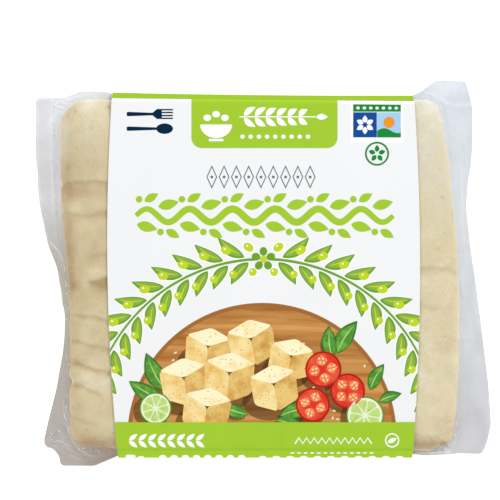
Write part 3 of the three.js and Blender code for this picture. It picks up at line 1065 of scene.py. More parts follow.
def film_tint(finish, settings, x, y):
    """The film's tint: cool at the top and on the right, warmer and deeper at the left waist, which
    paints shade into the film where it hangs away from the light.
    """
    height = finish.span(y, -TINT_REACH * MM, TINT_REACH * MM)
    left = finish.ramp(height, list(zip(LEFT_TINTS_AT, (
        settings.left_foot, settings.left_low, settings.left_waist, settings.left_upper,
        settings.left_top))))
    right = finish.ramp(height, list(zip(RIGHT_TINTS_AT, (
        settings.right_foot, settings.right_middle, settings.right_top))))
    base = finish.mix(finish.span(x, -0.03, 0.03), left, right)
    cloud = finish.span(finish.noise(110, 3), 0.3, 0.7, 0.93, 1.05)
    return finish.mix(1.0, base, cloud, "MULTIPLY")


def film_material(name, settings, cover, glossy, marked):
    """Clear film, faintly wavy, with painted shade in its tint; the milky seals have their pressed
    ridges with painted highlights and shade, the seam's line, and painted highlights and shade
    along their folds.
    """
    finish = Finish(name, Roughness=glossy, IOR=1.5, Specular_IOR_Level=0.35, Alpha=cover)
    split = finish.node("SeparateXYZ", {"Vector": finish.place()})
    x, y = split.outputs["X"], split.outputs["Y"]
    base = film_tint(finish, settings, x, y)
    wavy = finish.bump(finish.noise(420, 2), 0.0002, 0.25)
    if marked:
        ridge = finish.sum(*(
            finish.times(finish.stripes(x, y, slope, pitch), finish.value(name))
            for name, slope, pitch in (("falling", 1.0, settings.ridge_pitch),
                                       ("rising", -1.0, settings.low_pitch))))
        # painted highlight on the ridges' crests and painted shade between them
        base = finish.mix(finish.span(ridge, 0, 1, 0, RIDGE_HIGHLIGHT), base, paint("FFFFFF"))
        base = finish.mix(finish.span(ridge, 0, -1, 0, RIDGE_SHADE), base, paint("6E6A68"))
        # deep: the seam's darker line and painted shade along folds; pale: painted highlights along
        # folds; warm: a browner tint low on the left
        for name, tint in (("deep", "7F7B78"), ("warm", "A68B66"), ("pale", "F4F8FE")):
            base = finish.mix(finish.value(name), base, paint(tint))
        wavy = finish.bump(ridge, settings.ridge_height, 0.5, wavy)
    finish.set(Base_Color=base, Normal=wavy)
    return finish.material


# Soft folds in the flat film: a line, how high it stands, how wide it is, and how much paler
# or deeper the film is along it, as a painted highlight where paler and a painted shade where
# deeper. Some are only painted light, with no height.
FOLDS_AND_PAINTED_LIGHT = [
    ([(-64.8, 50.6), (-60, 50.4), (-56.5, 49)], 0.25, 0.5, 0),
    ([(-59.1, 50.7), (-59.5, 49.9), (-59.8, 48.9)], 0.3, 0.3, 0.5),
    ([(-59.8, 48.9), (-58.7, 48.5), (-57.2, 48.2)], 0.25, 0.2, 0.5),
    ([(-57, 50.7), (-55.2, 51), (-54, 51.4), (-52.7, 52.1)], 0.15, 0.3, 0.4),
    ([(-54.3, 51.1), (-53.2, 51.4), (-52.1, 52.4)], 0.15, 0.16, 0.4),
    ([(-58.2, 49.7), (-55.8, 49.9), (-54.2, 50.7)], -0.05, 0.5, -0.06),
    ([(-59, 46.8), (-58.6, 47.2), (-57.5, 46.8)], 0.15, 0.16, 0.5),
    ([(-57.4, 47.9), (-56.8, 47.4), (-57.2, 46.9)], 0.15, 0.16, 0.4),
    ([(-60.8, 44.6), (-60.2, 40.5), (-60, 33), (-60.3, 26)], 0.1, 0.35, 0),
    ([(-61.6, 9.9), (-58.3, 6.8), (-57.2, 4.2)], 0.22, 0.4, 0.2),
    ([(-57.2, -36.4), (-56.9, -39.4), (-55.9, -42.2), (-55.6, -45.6)], 0.2, 0.3, 0.15),
    ([(-62.6, -47.4), (-60.4, -47.9), (-57.6, -48), (-55.8, -49.2)], 0.08, 0.4, 0.08),
    ([(-57.7, -47.6), (-56.4, -49.3), (-52.9, -51.6), (-47.8, -52.1)], 0.14, 0.35, 0.08),
    ([(-58.8, -49.4), (-56, -51.8), (-52, -53.2)], 0.12, 0.5, 0.06),
    ([(-52, -50.6), (-51.1, -51.5)], 0.05, 0.14, 0.25),
    ([(-50.5, -54.2), (-46, -53.3), (-43.4, -52.6), (-41.5, -51.9)], 0, 0.8, -0.22),
    ([(-60, -46.2), (-57.4, -44.5)], 0.1, 0.9, -0.1),
    ([(-56.2, -43.5), (-54.9, -47.4), (-52.4, -50.6), (-49.2, -52.3)], 0.06, 0.16, 0.28),
    ([(-56.8, -43.8), (-55.6, -47.9), (-53.2, -51.2), (-50, -52.7)], 0, 0.18, -0.14),
    ([(-58, -45), (-57, -48.8), (-54.6, -52.2), (-51.6, -53.5)], 0.05, 0.16, 0.18),
    ([(47.5, 52.4), (49.5, 51.8), (52.4, 50.1), (55.7, 48.9), (60.2, 49.4)], 0.05, 0.6, 0.4),
    ([(51, 54.2), (57.5, 54.2)], 0, 2.6, 0.3),
    ([(57.3, 31), (57.6, 16), (58.6, 3)], 0.12, 0.45, 0),
    ([(58.5, 38), (59.3, 24), (60.4, 12)], 0.08, 0.5, 0),
    ([(53.5, -51.4), (55.3, -48.6), (56.6, -45.4)], 0.15, 0.4, 0.25),
    ([(51.6, -49.6), (51, -50.6), (50.2, -51.5)], 0.3, 0.22, 0.9),
    ([(52.6, -49.4), (52.8, -50.6), (54.4, -51.4)], 0.3, 0.25, 0.8),
    ([(48.6, -51.3), (50.8, -51), (53.6, -51.2)], 0.25, 0.3, 0.8),
    ([(53.4, -49.2), (53.7, -50.4), (52.4, -51)], 0, 0.14, -0.5),
    ([(43.5, -51.4), (46.9, -51.6), (51, -51.5)], 0, 0.4, 0.6),
    ([(43.5, -51.8), (46.9, -52), (51, -51.9)], 0, 0.14, -0.5),
    ([(-52, 52.2), (-43, 52.1)], 0, 0.7, 0.3),
    ([(62.6, -40), (64.2, -46), (62.4, -50.8)], 0, 2.6, -0.17),
    ([(57.8, -28), (57.6, -41)], 0, 0.9, 0.14),
    ([(52.6, 48.7), (54.6, 47.4)], 0, 1.2, 0.2),
    ([(59.5, -1), (60.6, -10), (63, -22)], 0, 1, -0.07),
    ([(-57.6, -1), (-57.3, -6.5), (-57.7, -12)], 0.12, 0.25, 0.12),
    ([(-58.6, 5.5), (-58.2, 1), (-58.4, -3.5)], 0.12, 0.25, 0.1),
    ([(-60.6, 22), (-59.6, 14), (-58.9, 8.5)], 0.1, 0.3, 0.08),
]


def away_from(flat, line):
    """Squared distances of points from a line of straight stretches."""
    away = np.full(len(flat), 1e9)
    line = np.array(line, float)
    for start, end in zip(line[:-1], line[1:]):
        run = end - start
        part = np.clip((flat - start) @ run / (run @ run), 0, 1)
        away = np.minimum(away, ((flat - start - part[:, None] * run) ** 2).sum(1))
    return away


def fold_relief(points):
    """The height of the soft folds at points of the flat film, and the painted highlights and shade
    along them.
    """
    flat = points[..., :2].reshape(-1, 2)
    height, pale = np.zeros((2, len(flat)))
    for line, high, wide, tone in FOLDS_AND_PAINTED_LIGHT:
        near = np.exp(-away_from(flat, line) / wide**2)
        height += high * near
        pale += tone * near
    return height.reshape(points.shape[:-1]), pale.reshape(points.shape[:-1])


def seal_sheet(name, flange, settings, step):
    """One end's sealed film, from the web out to its cut edge."""
    run = worn(end_run(flange, step))
    share_out = np.linspace(0, 1, SEAL_COLUMNS)
    distance = SEAL_START + (run.length - SEAL_START)[:, None] * share_out
    part = distance / run.length[:, None]
    xy = run.block[:, None] + (run.film - run.block)[:, None] * part[..., None]
    x, y = xy[..., 0], xy[..., 1]
    points = np.dstack([xy, MID_Z - run.drop[:, None] * part])
    normal = normals_of(points, wrap=False)
    normal *= np.sign(normal[..., 2:3] + 1e-9)
    from_edge = run.length[:, None] - distance
    falling, rising = ridged(flange, from_edge, x, y)
    seam = seam_line(flange, from_edge, y)
    gathered = fade(distance, 0.8, 2.6) * smoothstep(distance, 0, 0.4)
    wave = layered(points, FLAT_LAYERS) * smoothstep(distance, 2, 6)
    wave += layered(points * GATHER_STRETCH, GATHER_LAYERS) * gathered
    wave += layered(points, FINE_LAYERS)
    folds, pale = fold_relief(points)
    surface = points + normal * (wave + folds + SEAM_HEIGHT * seam)[..., None]
    warm = np.zeros(x.shape)
    if flange["side"] < 0:
        # painted shade on the film beside the block, from the waist up
        pale = pale - 0.07 * fade(distance, 1.8, 3.4) * smoothstep(y, -10, 20)
        warm = 0.34 * smoothstep(-x, 59, 45) * smoothstep(-y, 45, 50.5)
    # deep: the seam's line, and painted shade where the folds' tone is below 0; pale: painted
    # highlights where it is above 0
    deep = np.clip(SEAM_SHADE * seam - np.minimum(pale, 0), 0, MOST_TINT)
    piece = sheet(name, surface + SHIFT, falling=falling, rising=rising, deep=deep,
                  pale=np.clip(pale, 0, MOST_TINT), warm=warm)
    thicken(piece, settings.thickness / MM)
    smooth(piece, 60)
    return piece, surface


# Painted highlights: opaque white tubes where the film is folded double or pinched and catches the
# light, partly the doubled film's own whiteness. Each has a thickness and a line.
GLINT = {"radius": 0.16, "lift": 0.06, "samples": 9, "tip": 0.25}
LEFT_GLINTS = [
    (1.4, [(-59, 50.5), (-59.4, 49.8), (-59.8, 48.9)]),
    (1.1, [(-59.8, 48.9), (-58.7, 48.5), (-57.3, 48.2)]),
    (0.8, [(-56.6, 50.7), (-55.2, 50.9), (-54, 51.3), (-52.9, 52)]),
    (1.3, [(-51, 51.4), (-50.8, 51.3)]), (0.9, [(-60.3, 41.1), (-59.2, 40.9)]),
    (0.9, [(-59.6, 33.5), (-58.8, 32.6)]), (0.9, [(-62.8, 17.5), (-62.4, 17.2)]),
    (1.1, [(-61.2, 9.7), (-60, 8.4), (-58.9, 7.3)]), (1, [(-56.7, -5), (-56.2, -5.5)]),
    (1.2, [(-56.1, -25.7), (-55.7, -26)]), (2.2, [(-58.7, -44.9), (-58.3, -45.3)]),
    (0.7, [(-57.3, -39.4), (-56.9, -41), (-56.2, -42.4)]), (0.6, [(-56.9, -38), (-56.4, -38.4)]),
    (0.8, [(-55.9, -43.8), (-55.4, -44.6), (-54.9, -45.4)]),
    (1.4, [(-51.7, -49.8), (-51.3, -50.2)]), (1.6, [(-47.4, -50.6), (-46.9, -51)]),
    (0.7, [(-57.6, 3.4), (-56.8, 1.7), (-57.3, 0.4)]),
    (0.8, [(-57, -1.5), (-56.4, -2.5), (-56.8, -3.7)]), (0.6, [(-58.3, 5.6), (-57.5, 4.4)]),
    (0.6, [(-56.5, -34.2), (-56.2, -35.6)]),
    (0.7, [(-56.1, -36.8), (-56.7, -38.5), (-55.8, -40.6), (-55.2, -42.9)]),
    (0.5, [(-57.2, -7.4), (-56.9, -9.4), (-57.1, -11.2)]),
    (0.5, [(-56.7, -21.5), (-56.5, -23.6), (-56.6, -25.2)]),
    (0.5, [(-60.2, -48.3), (-59, -47.9), (-58.3, -47.9), (-57.4, -48.4)]),
]
LEFT_GLINTS += [(0.9, [(x, y), (x + 0.35, y - 0.1)]) for x, y in (
    (-61.6, -46.8), (-60.9, -47.6), (-56.3, -48.7), (-55.5, -49.2), (-59.9, -49.4), (-57.6, -49.6),
    (-53.0, -50.2), (-61.0, -45.9), (-56.6, -12.8), (-56.9, -19.6), (-60.0, 24.6), (-61.6, 3.2))]
RIGHT_GLINTS = [
    (1.2, [(55.1, 27.1), (55.5, 26.6)]), (1.3, [(55.1, -45.9), (55.9, -46.6)]),
    (1, [(52.6, -49.5), (53.4, -50.2), (54.4, -51.2)]), (0.8, [(50.9, -50.2), (50.3, -51.2)]),
    (0.8, [(56.2, -42.2), (56, -43.9)]),
]


def glint_piece(name, lines, surface):
    """Tapered tubes on a film surface along its doubled folds, which carry painted highlights."""
    curve = bpy.data.curves.new(name, "CURVE")
    curve.dimensions = "3D"
    curve.bevel_depth = GLINT["radius"] * MM
    curve.bevel_resolution = 2
    curve.use_fill_caps = True
    flat = surface.reshape(-1, 3)
    for thick, line in lines:
        dense = along(line, np.linspace(0, 1, GLINT["samples"]))
        spline = curve.splines.new("POLY")
        spline.points.add(len(dense) - 1)
        for i, (x, y) in enumerate(dense):
            nearest = flat[np.argmin((flat[:, 0] - x) ** 2 + (flat[:, 1] - y) ** 2)]
            place = (np.array([x, y, nearest[2] + GLINT["lift"]]) + SHIFT) * MM
            taper = (1 - GLINT["tip"]) * math.sin(math.pi * (i + 0.5) / len(dense))
            spline.points[i].co = (*place, 1)
            spline.points[i].radius = thick * (GLINT["tip"] + taper)
    return curve_to_mesh(name, curve)


class MESH_OT_film_pouch(bpy.types.Operator):
    """Makes the clear film over the block, the two seal flanges, and tubes on their folds that
    paint the highlights where they catch light
    """

    bl_idname = "mesh.film_pouch"
    bl_label = "Film pouch"

    def execute(self, context):
        settings = context.scene.film_settings
        mottle = context.scene.tofu_settings.mottle
        run = worn(whole_outline(OUTLINE_STEP))
        rings = skin_rings(run, mottle) + SHIFT
        front = SHIFT + (0, 0, FRONT_Z)
        back = SHIFT + (0, 0, BACK_Z)
        skin, ring, segment = ball("film_skin", rings, front, back)
        smooth(skin, 60)
        clear = film_material("clear_skin", settings, settings.skin_cover, 0.2, False)
        finish_piece(skin, clear, "clear_film", "vacuum_pouch")
        milky = film_material("milky_seal", settings, settings.seal_cover, 0.4, True)
        # near-white and almost opaque: painted highlights on the folds, partly the doubled film's
        # whiteness
        fold = Finish("doubled_film_glint", Roughness=0.12, Alpha=0.97, Base_Color=paint("F7FAFF"))
        ends = (("left", LEFT_FLANGE, LEFT_GLINTS), ("right", RIGHT_FLANGE, RIGHT_GLINTS))
        for side, flange, glints in ends:
            seal, surface = seal_sheet(side + "_seal", flange, settings, SEAL_STEPS[side])
            finish_piece(seal, milky, "clear_film", "vacuum_pouch")
            folds = glint_piece(side + "_film_glints", glints, surface)
            finish_piece(folds, fold.material, "clear_film", "vacuum_pouch")
            smooth(folds, 60)
        return {"FINISHED"}


# ---- the sleeve ----

FOLD_PANEL = 2.3  # how far the top and bottom panels lean out from the front's fold
FOLD_ROUND = 9  # samples that round the fold
SECTION_STEP = 0.12
SECTION_SAMPLES = 320  # round the section
ACROSS_SAMPLES = 33  # across the sleeve
FLAP = {"edge": -7.0, "step": 0.12, "blends": (6.0, 9.0), "height": 0.28}


def sleeve_edge(edge, y):
    """Where the sleeve's left or right edge runs."""
    return edge["widest"] + edge["bow"] * (y - edge["at"]) ** 2


def back_step(place):
    """How far the back stands in from the glued flap, at places of the section."""
    y, z = place[..., 0], place[..., 1]
    flap = smoothstep(y, FLAP["edge"], FLAP["edge"] + FLAP["step"])
    flap = flap * fade(y, *FLAP["blends"])
    return FLAP["height"] * (1 - flap) * smoothstep(-z, HALF_THICKNESS - 1.5, HALF_THICKNESS)


class Section:
    """The sleeve's outer section as a closed line, measured from the middle of its front."""

    def __init__(self):
        top = BLOCK_TOP + FOLD_MARGIN + SLEEVE_STAND_OFF
        low = BLOCK_BOTTOM - FOLD_MARGIN - SLEEVE_STAND_OFF
        half = HALF_THICKNESS + SLEEVE_STAND_OFF
        front = HALF_THICKNESS + FRONT_STAND_OFF
        corners = np.array([
            (0, front), (top - FOLD_PANEL, front), (top, 0), (top - FOLD_PANEL, -half),
            (low + FOLD_PANEL, -half), (low, 0), (low + FOLD_PANEL, front), (0, front),
        ])
        samples = int(run_lengths(corners)[-1] / SECTION_STEP)
        self.points = softened(along(corners, np.linspace(0, 1, samples)), FOLD_ROUND)
        self.normals = left_of(self.points)
        self.runs = run_lengths(self.points)
        self.total = self.runs[-1]

    def at(self, run):
        """Places and normals in the section at distances round it, negative below its middle."""
        run = np.asarray(run, float) % self.total
        return [np.stack([np.interp(run, self.runs, column) for column in table.T], -1)
                for table in (self.points, self.normals)]

    def on_sleeve(self, x, run, lift):
        """Points of the sleeve's outer face, or above it by a lift."""
        place, normal = self.at(run)
        lift = np.asarray(lift) - back_step(place)
        y, z = (place + normal * lift[..., None]).T
        y, z = y.T, z.T
        share = (x - COVERED_LEFT) / (COVERED_RIGHT - COVERED_LEFT)
        askew = TOP_TILT["left"] + (TOP_TILT["right"] - TOP_TILT["left"]) * share
        sag = TOP_TILT["sag"] * (1 - (2 * share - 1) ** 2)
        y = y + askew * smoothstep(y, 46.5, 50.2) - sag * smoothstep(y, 50.2, 51.6)
        swell = np.where(z > 0, np.maximum(0, crown(x, y)), 0)
        swell = swell * smoothstep(z, 4, HALF_THICKNESS)
        return np.stack([x + 0 * y, y, MID_Z + z + swell], -1)


SECTION = Section()
FOLD_TOP = BLOCK_TOP + FOLD_MARGIN + SLEEVE_STAND_OFF - FOLD_PANEL
FOLD_LOW = BLOCK_BOTTOM - FOLD_MARGIN - SLEEVE_STAND_OFF + FOLD_PANEL
WALL_RUN = math.hypot(FOLD_PANEL, HALF_THICKNESS + FRONT_STAND_OFF)
BACK_MIDDLE = SECTION.total / 2


def section_samples():
    """Distances round the section, close together at its folds and at the flap's edge."""
    turn = np.unwrap(np.arctan2(SECTION.normals[:, 1], SECTION.normals[:, 0]))
    bend = np.abs(np.gradient(turn))
    step = np.abs(np.gradient(back_step(SECTION.points)))
    spaced = np.cumsum(0.012 + bend / bend.max() + step / step.max())
    places_on = np.linspace(0, spaced[-1], SECTION_SAMPLES, endpoint=False)
    return np.interp(places_on, spaced, SECTION.runs)


def coated(name, tint, gloss, patches, mottle):
    """Coated paper, or a flat ink on it: uneven by a hair, with a soft sheen."""
    finish = Finish(name, Roughness=0.5, Specular_IOR_Level=gloss)
    shade = finish.span(finish.noise(patches, 2), 0.3, 0.7)
    darker = opaque([c * (1 - mottle) for c in tint[:3]])
    finish.set(Base_Color=finish.mix(shade, opaque(tint), darker))
    finish.set(Normal=finish.bump(finish.noise(2600, 2), 0.00002, 0.25))
    return finish.material


class MESH_OT_paper_sleeve(bpy.types.Operator):
    """Makes the paper sleeve round the pouch, with the glued overlap on its back"""

    bl_idname = "mesh.paper_sleeve"
    bl_label = "Paper sleeve"

    def execute(self, context):
        runs = section_samples()
        y = SECTION.at(runs)[0][:, 0]
        left, right = sleeve_edge(SLEEVE_LEFT, y), sleeve_edge(SLEEVE_RIGHT, y)
        shares = np.linspace(0, 1, ACROSS_SAMPLES)
        columns = []
        for across, lift in ((shares, 0.0), (shares[::-1], -PAPER)):
            for part in across:
                x = left * (1 - part) + right * part
                columns.append(SECTION.on_sleeve(x, runs, np.full(len(runs), lift)))
        piece = band("printed_sleeve", np.stack(columns, axis=1) + SHIFT)
        smooth(piece, 35)
        paper = coated("coated_paper", context.scene.sleeve_settings.paper, 0.1, 45, 0.0125)
        finish_piece(piece, paper, "sleeve_paper", "paper_sleeve")
        return {"FINISHED"}


# ---- outlines of printed shapes, in millimetres on the sleeve ----

MARGIN = 0.05  # bare paper along the sleeve's cut edges
CLIP_STEP = 0.5  # samples along an outline that runs over the edge
INK_THICK = 0.9  # a layer of ink fills this share of the step between two layers
CELL = 9.0  # inks are cut into cells of this size, and more finely next to the folds
NEXT_TO_FOLD = np.arange(-1.6, 1.7, 0.32)


def oval(x, y, rx, ry=None, turn=0, count=40):
    """An ellipse."""
    angle = np.linspace(0, TAU, count, endpoint=False)
    return turned_at(np.column_stack([rx * np.cos(angle), (ry or rx) * np.sin(angle)]), turn, x, y)


def heading(degrees):
    """The cosine and the sine of an angle."""
    return np.array([math.cos(math.radians(degrees)), math.sin(math.radians(degrees))])


def turned_at(points, degrees, x, y):
    """Points turned about the origin, then moved."""
    c, s = heading(degrees)
    return np.asarray(points) @ np.array([[c, s], [-s, c]]) + (x, y)


def leaf(x, y, size, width, turn, curl=0.0, count=20):
    """A pointed leaf from its stalk at a place, of a length and width, with a curled spine."""
    t = np.linspace(0, 1, count)
    half = width / 2 * np.sin(math.pi * t**0.85) ** 0.9
    spine = curl * size * np.sin(math.pi * t)
    upper = np.column_stack([t * size, spine + half])
    lower = np.column_stack([t * size, spine - half])[::-1][1:-1]
    return turned_at(np.vstack([upper, lower]), turn, x, y)


def slab(x0, y0, x1, y1, radii=(0, 0, 0, 0), count=8):
    """A box with rounded corners, anticlockwise from its lower left one."""
    corners = [(x0, y0, 1, 1, 180), (x1, y0, -1, 1, 270), (x1, y1, -1, -1, 0), (x0, y1, 1, -1, 90)]
    points = []
    for (x, y, sx, sy, start), radius in zip(corners, radii):
        if radius:
            angle = np.radians(start + np.linspace(0, 90, count))
            x = x + sx * radius + radius * np.cos(angle)
            y = y + sy * radius + radius * np.sin(angle)
        points.append(np.column_stack([x, y]))
    return np.vstack(points)


def stroke(line, width):
    """A stripe along a line, of one width or of a width at each point."""
    line = along(line, np.linspace(0, 1, max(3, len(line))))
    half = np.broadcast_to(np.asarray(width) / 2, len(line))[:, None]
    side = left_of(line) * half
    return np.vstack([line + side, (line - side)[::-1]])


def edge_limits(run):
    """The x between which ink may lie, at distances round the sleeve."""
    y = SECTION.at(run)[0][:, 0]
    return sleeve_edge(SLEEVE_LEFT, y) + MARGIN, sleeve_edge(SLEEVE_RIGHT, y) - MARGIN


def kept_on_face(points):
    """Outline points held inside the sleeve's cut edges, or nothing where none is inside."""
    points = np.asarray(points, float)
    x, run = points.T
    low, high = edge_limits(run)
    if ((x > low) & (x < high)).all():
        return points
    closed = np.vstack([points, points[:1]])
    samples = int(run_lengths(closed)[-1] / CLIP_STEP) + 2
    fine = along(closed, np.linspace(0, 1, samples))[:-1]
    low, high = edge_limits(fine[:, 1])
    if not ((fine[:, 0] > low) & (fine[:, 0] < high)).any():
        return None
    return np.column_stack([np.clip(fine[:, 0], low, high), fine[:, 1]])


def ink(name, outlines, level, material):
    """Prints shapes of one ink: they are filled, cut into cells and laid on the sleeve."""
    name = "print_" + name
    curve = bpy.data.curves.new(name, "CURVE")
    curve.dimensions = "2D"
    curve.fill_mode = "FRONT"
    outlines = [held for held in map(kept_on_face, outlines) if held is not None]
    for outline in outlines:
        spline = curve.splines.new("POLY")
        spline.points.add(len(outline) - 1)
        flat = np.column_stack([outline * MM, np.zeros(len(outline)), np.ones(len(outline))])
        spline.points.foreach_set("co", flat.ravel())
        spline.use_cyclic_u = True
    piece = curve_to_mesh(name, curve)
    cut_into_cells(piece, np.vstack(outlines))
    co = places(piece) / MM
    step = bpy.context.scene.sleeve_settings.ink_step / MM
    laid = SECTION.on_sleeve(co[:, 0], co[:, 1], np.full(len(co), level * step))
    move_to(piece, laid + SHIFT)
    face_up(piece)
    thicken(piece, step * INK_THICK, -1)
    smooth(piece, 35)
    finish_piece(piece, material, "sleeve_print", "paper_sleeve")
    return piece


def cut_into_cells(piece, reach):
    """Cuts a flat mesh across, so that it can follow the sleeve's swell and folds."""
    low, high = reach.min(0), reach.max(0)
    cuts = [((x, 0), (1, 0)) for x in np.arange(math.ceil(low[0] / CELL), high[0] / CELL) * CELL]
    cuts += [((0, y), (0, 1)) for y in np.arange(math.ceil(low[1] / CELL), high[1] / CELL) * CELL]
    folds = [NEXT_TO_FOLD + FOLD_TOP + i * WALL_RUN for i in range(3)]
    folds += [NEXT_TO_FOLD + FOLD_LOW - i * WALL_RUN for i in range(3)]
    cuts += [((0, y), (0, 1)) for y in np.concatenate(folds) if low[1] < y < high[1]]
    bpy.ops.object.mode_set(mode="EDIT")
    for (x, y), normal in cuts:
        bpy.ops.mesh.select_all(action="SELECT")
        bpy.ops.mesh.bisect(plane_co=(x * MM, y * MM, 0), plane_no=(*normal, 0))
    bpy.ops.object.mode_set(mode="OBJECT")


def face_up(piece):
    """Turns an ink's faces away from the pack's middle."""
    outwards = triples(piece.data.polygons, "center") - (0, 0, MID_Z * MM)
    facing = (triples(piece.data.polygons, "normal") * outwards).sum(1)
    if (facing < 0).mean() > 0.5:
        piece.data.flip_normals()


def ink_material(name, tint, mottle=0.04):
    """A flat ink, of a colour or of a colour's code."""
    tint = linear(tint) if isinstance(tint, str) else tuple(tint)
    return coated("ink_" + name, tint, 0.0, 160, mottle)


# ---- the fields of colour ----

TAB = {"left": -20.3, "right": 21.7, "low": 36.4, "radius": 3.0}
STRIP_LOW = 52.6
STRIP_HIGH = 81
BAND_HIGH = -42.4
BAND_LOW = -83
EDGE_REACH = 60  # beyond the sleeve's cut edges, which hold the inks in


def field(low, high, count):
    """A field of colour across the whole sleeve, between two distances round it."""
    run = np.linspace(low, high, count)
    wide = np.full(count, float(EDGE_REACH))
    return np.vstack([np.column_stack([wide, run]), np.column_stack([-wide, run])[::-1]])


class MESH_OT_print_fields(bpy.types.Operator):
    """Prints the green strip and tab at the top, and the green band at the bottom"""

    bl_idname = "mesh.print_fields"
    bl_label = "Print: fields of colour"

    def execute(self, context):
        green = ink_material("leaf_green", context.scene.sleeve_settings.green)
        # painted shade: the top strip, which leans towards the key light, is printed in the darker
        # copy of the green
        deeper = ink_material("shaded_wall_green", context.scene.sleeve_settings.shaded_wall_green)
        tab = slab(TAB["left"], TAB["low"], TAB["right"], STRIP_LOW + 0.3,
                   (TAB["radius"], TAB["radius"], 0, 0))
        ink("green_tab", [tab], 1, green)
        ink("green_strip", [field(STRIP_LOW, STRIP_HIGH, 90)], 2, deeper)
        ink("green_band", [field(BAND_LOW, BAND_HIGH, 120)], 6.4, green)
        return {"FINISHED"}


# ---- the ornaments ----


def sprig(x, y, size, pairs, width):
    """A straight sprig: a stem with pairs of leaves, each a little shorter than the last."""
    out = [stroke([(0, 0), (size, 0)], 0.32)]
    for i in range(pairs):
        at = size * (0.06 + 0.86 * i / pairs)
        long = size / pairs * (1.15 - 0.35 * i / pairs)
        for side in (1, -1):
            out.append(leaf(at, side * 0.28, long, width, side * 38, side * 0.08))
    out.append(leaf(size + 0.1, 0, size / pairs * 0.9, width, 0))
    return [points + (x, y) for points in out]


def bowl(x, y, r):
    """A round bowl seen from the side, with three seeds over it."""
    angle = np.radians(np.linspace(180, 360, 24))
    body = np.column_stack([r * np.cos(angle), 0.85 * r * np.sin(angle)])
    foot = slab(-0.45 * r, -1.05 * r, 0.45 * r, -0.9 * r)
    seeds = [oval(dx * r, 0.42 * r + dy * r, 0.24 * r, 0.2 * r) for dx, dy in
             ((-0.55, 0), (0, 0.22), (0.55, 0))]
    return [points + (x, y) for points in (body, foot, *seeds)]


def mirrored(half):
    """A closed outline from its upper half, from left to right."""
    half = np.asarray(half, float)
    return np.vstack([half, (half * (1, -1))[::-1]])


def fork_and_spoon(x, y):
    """A fork above a spoon, both lying level."""
    fork = mirrored([
        (0, 0.42), (0.35, 0.62), (7.4, 0.36), (8.7, 1.42), (13.3, 1.42), (13.3, 1.04), (10.1, 1.04),
        (10.1, 0.64), (13.3, 0.64), (13.3, 0.24), (10.1, 0.24),
    ])
    bend = np.radians(np.linspace(168, 4, 22))
    spoon = mirrored([
        (0, 0.42), (0.35, 0.62), (8.4, 0.36), *zip(10.9 + 2.4 * np.cos(bend), 1.5 * np.sin(bend)),
    ])
    return [fork + (x, y + 2.1), spoon + (x, y - 2.1)]


def lozenge_chain(x0, x1, y, high, count, line):
    """A chain of thin-lined lozenges with a dot in each."""
    out = []
    pitch = (x1 - x0) / count
    for i in range(count):
        cx = x0 + pitch * (i + 0.5)
        outer = np.array([(pitch * 0.44, 0), (0, high / 2), (-pitch * 0.44, 0), (0, -high / 2)])
        out += [outer + (cx, y), outer * (1 - 2.4 * line / pitch) + (cx, y)]
        out.append(oval(cx, y, 0.42, count=16))
    return out


VINE = {"swing": 1.9, "waves": 12, "width": 2.1, "samples": 240}
# The leaves of each bay: how far back and out they start, their length, width and turn.
VINE_LEAVES = ((0.46, -2.5, 0.98, 2.9, -14), (0.1, 4.1, 0.72, 2.3, 30))


def vine(x0, x1, y):
    """A running vine: one thick wave, leaves in its bays and over its crests, and berries."""
    x = np.linspace(x0, x1, VINE["samples"])
    phase = (x - x0) / (x1 - x0) * VINE["waves"] * math.pi
    wave = np.column_stack([x, y + VINE["swing"] * np.sin(phase)])
    swelling = np.sin(math.pi * np.linspace(0.02, 0.98, VINE["samples"])) ** 0.4
    leaves, berries = [], []
    pitch = (x1 - x0) / VINE["waves"]
    for i in range(VINE["waves"]):
        side = 1 if i % 2 == 0 else -1
        cx = x0 + pitch * (i + 0.5)
        leaves += [leaf(cx - pitch * back, y + side * out, pitch * long, wide, side * turn, 0, 24)
                   for back, out, long, wide, turn in VINE_LEAVES]
        berries.append(oval(cx - pitch * 0.36, y + side * 4.7, 0.95, count=20))
    return [stroke(wave, VINE["width"] * (0.5 + 0.5 * swelling))], leaves, berries


def print_vine(names, x0, x1, y, green):
    """Prints a vine's stem, leaves and berries, each under a name of its own."""
    for name, outlines, level in zip(names, vine(x0, x1, y), (1, 1.3, 1.6)):
        ink(name, outlines, level, green)


def flower(x, y, r, petals):
    """A simple flower of pointed petals round a bare middle, the first one upright."""
    petal = leaf(0.22 * r, 0, 0.78 * r, 0.52 * r, 0)
    return [turned_at(petal, 90 + 360 * i / petals, x, y) for i in range(petals)]


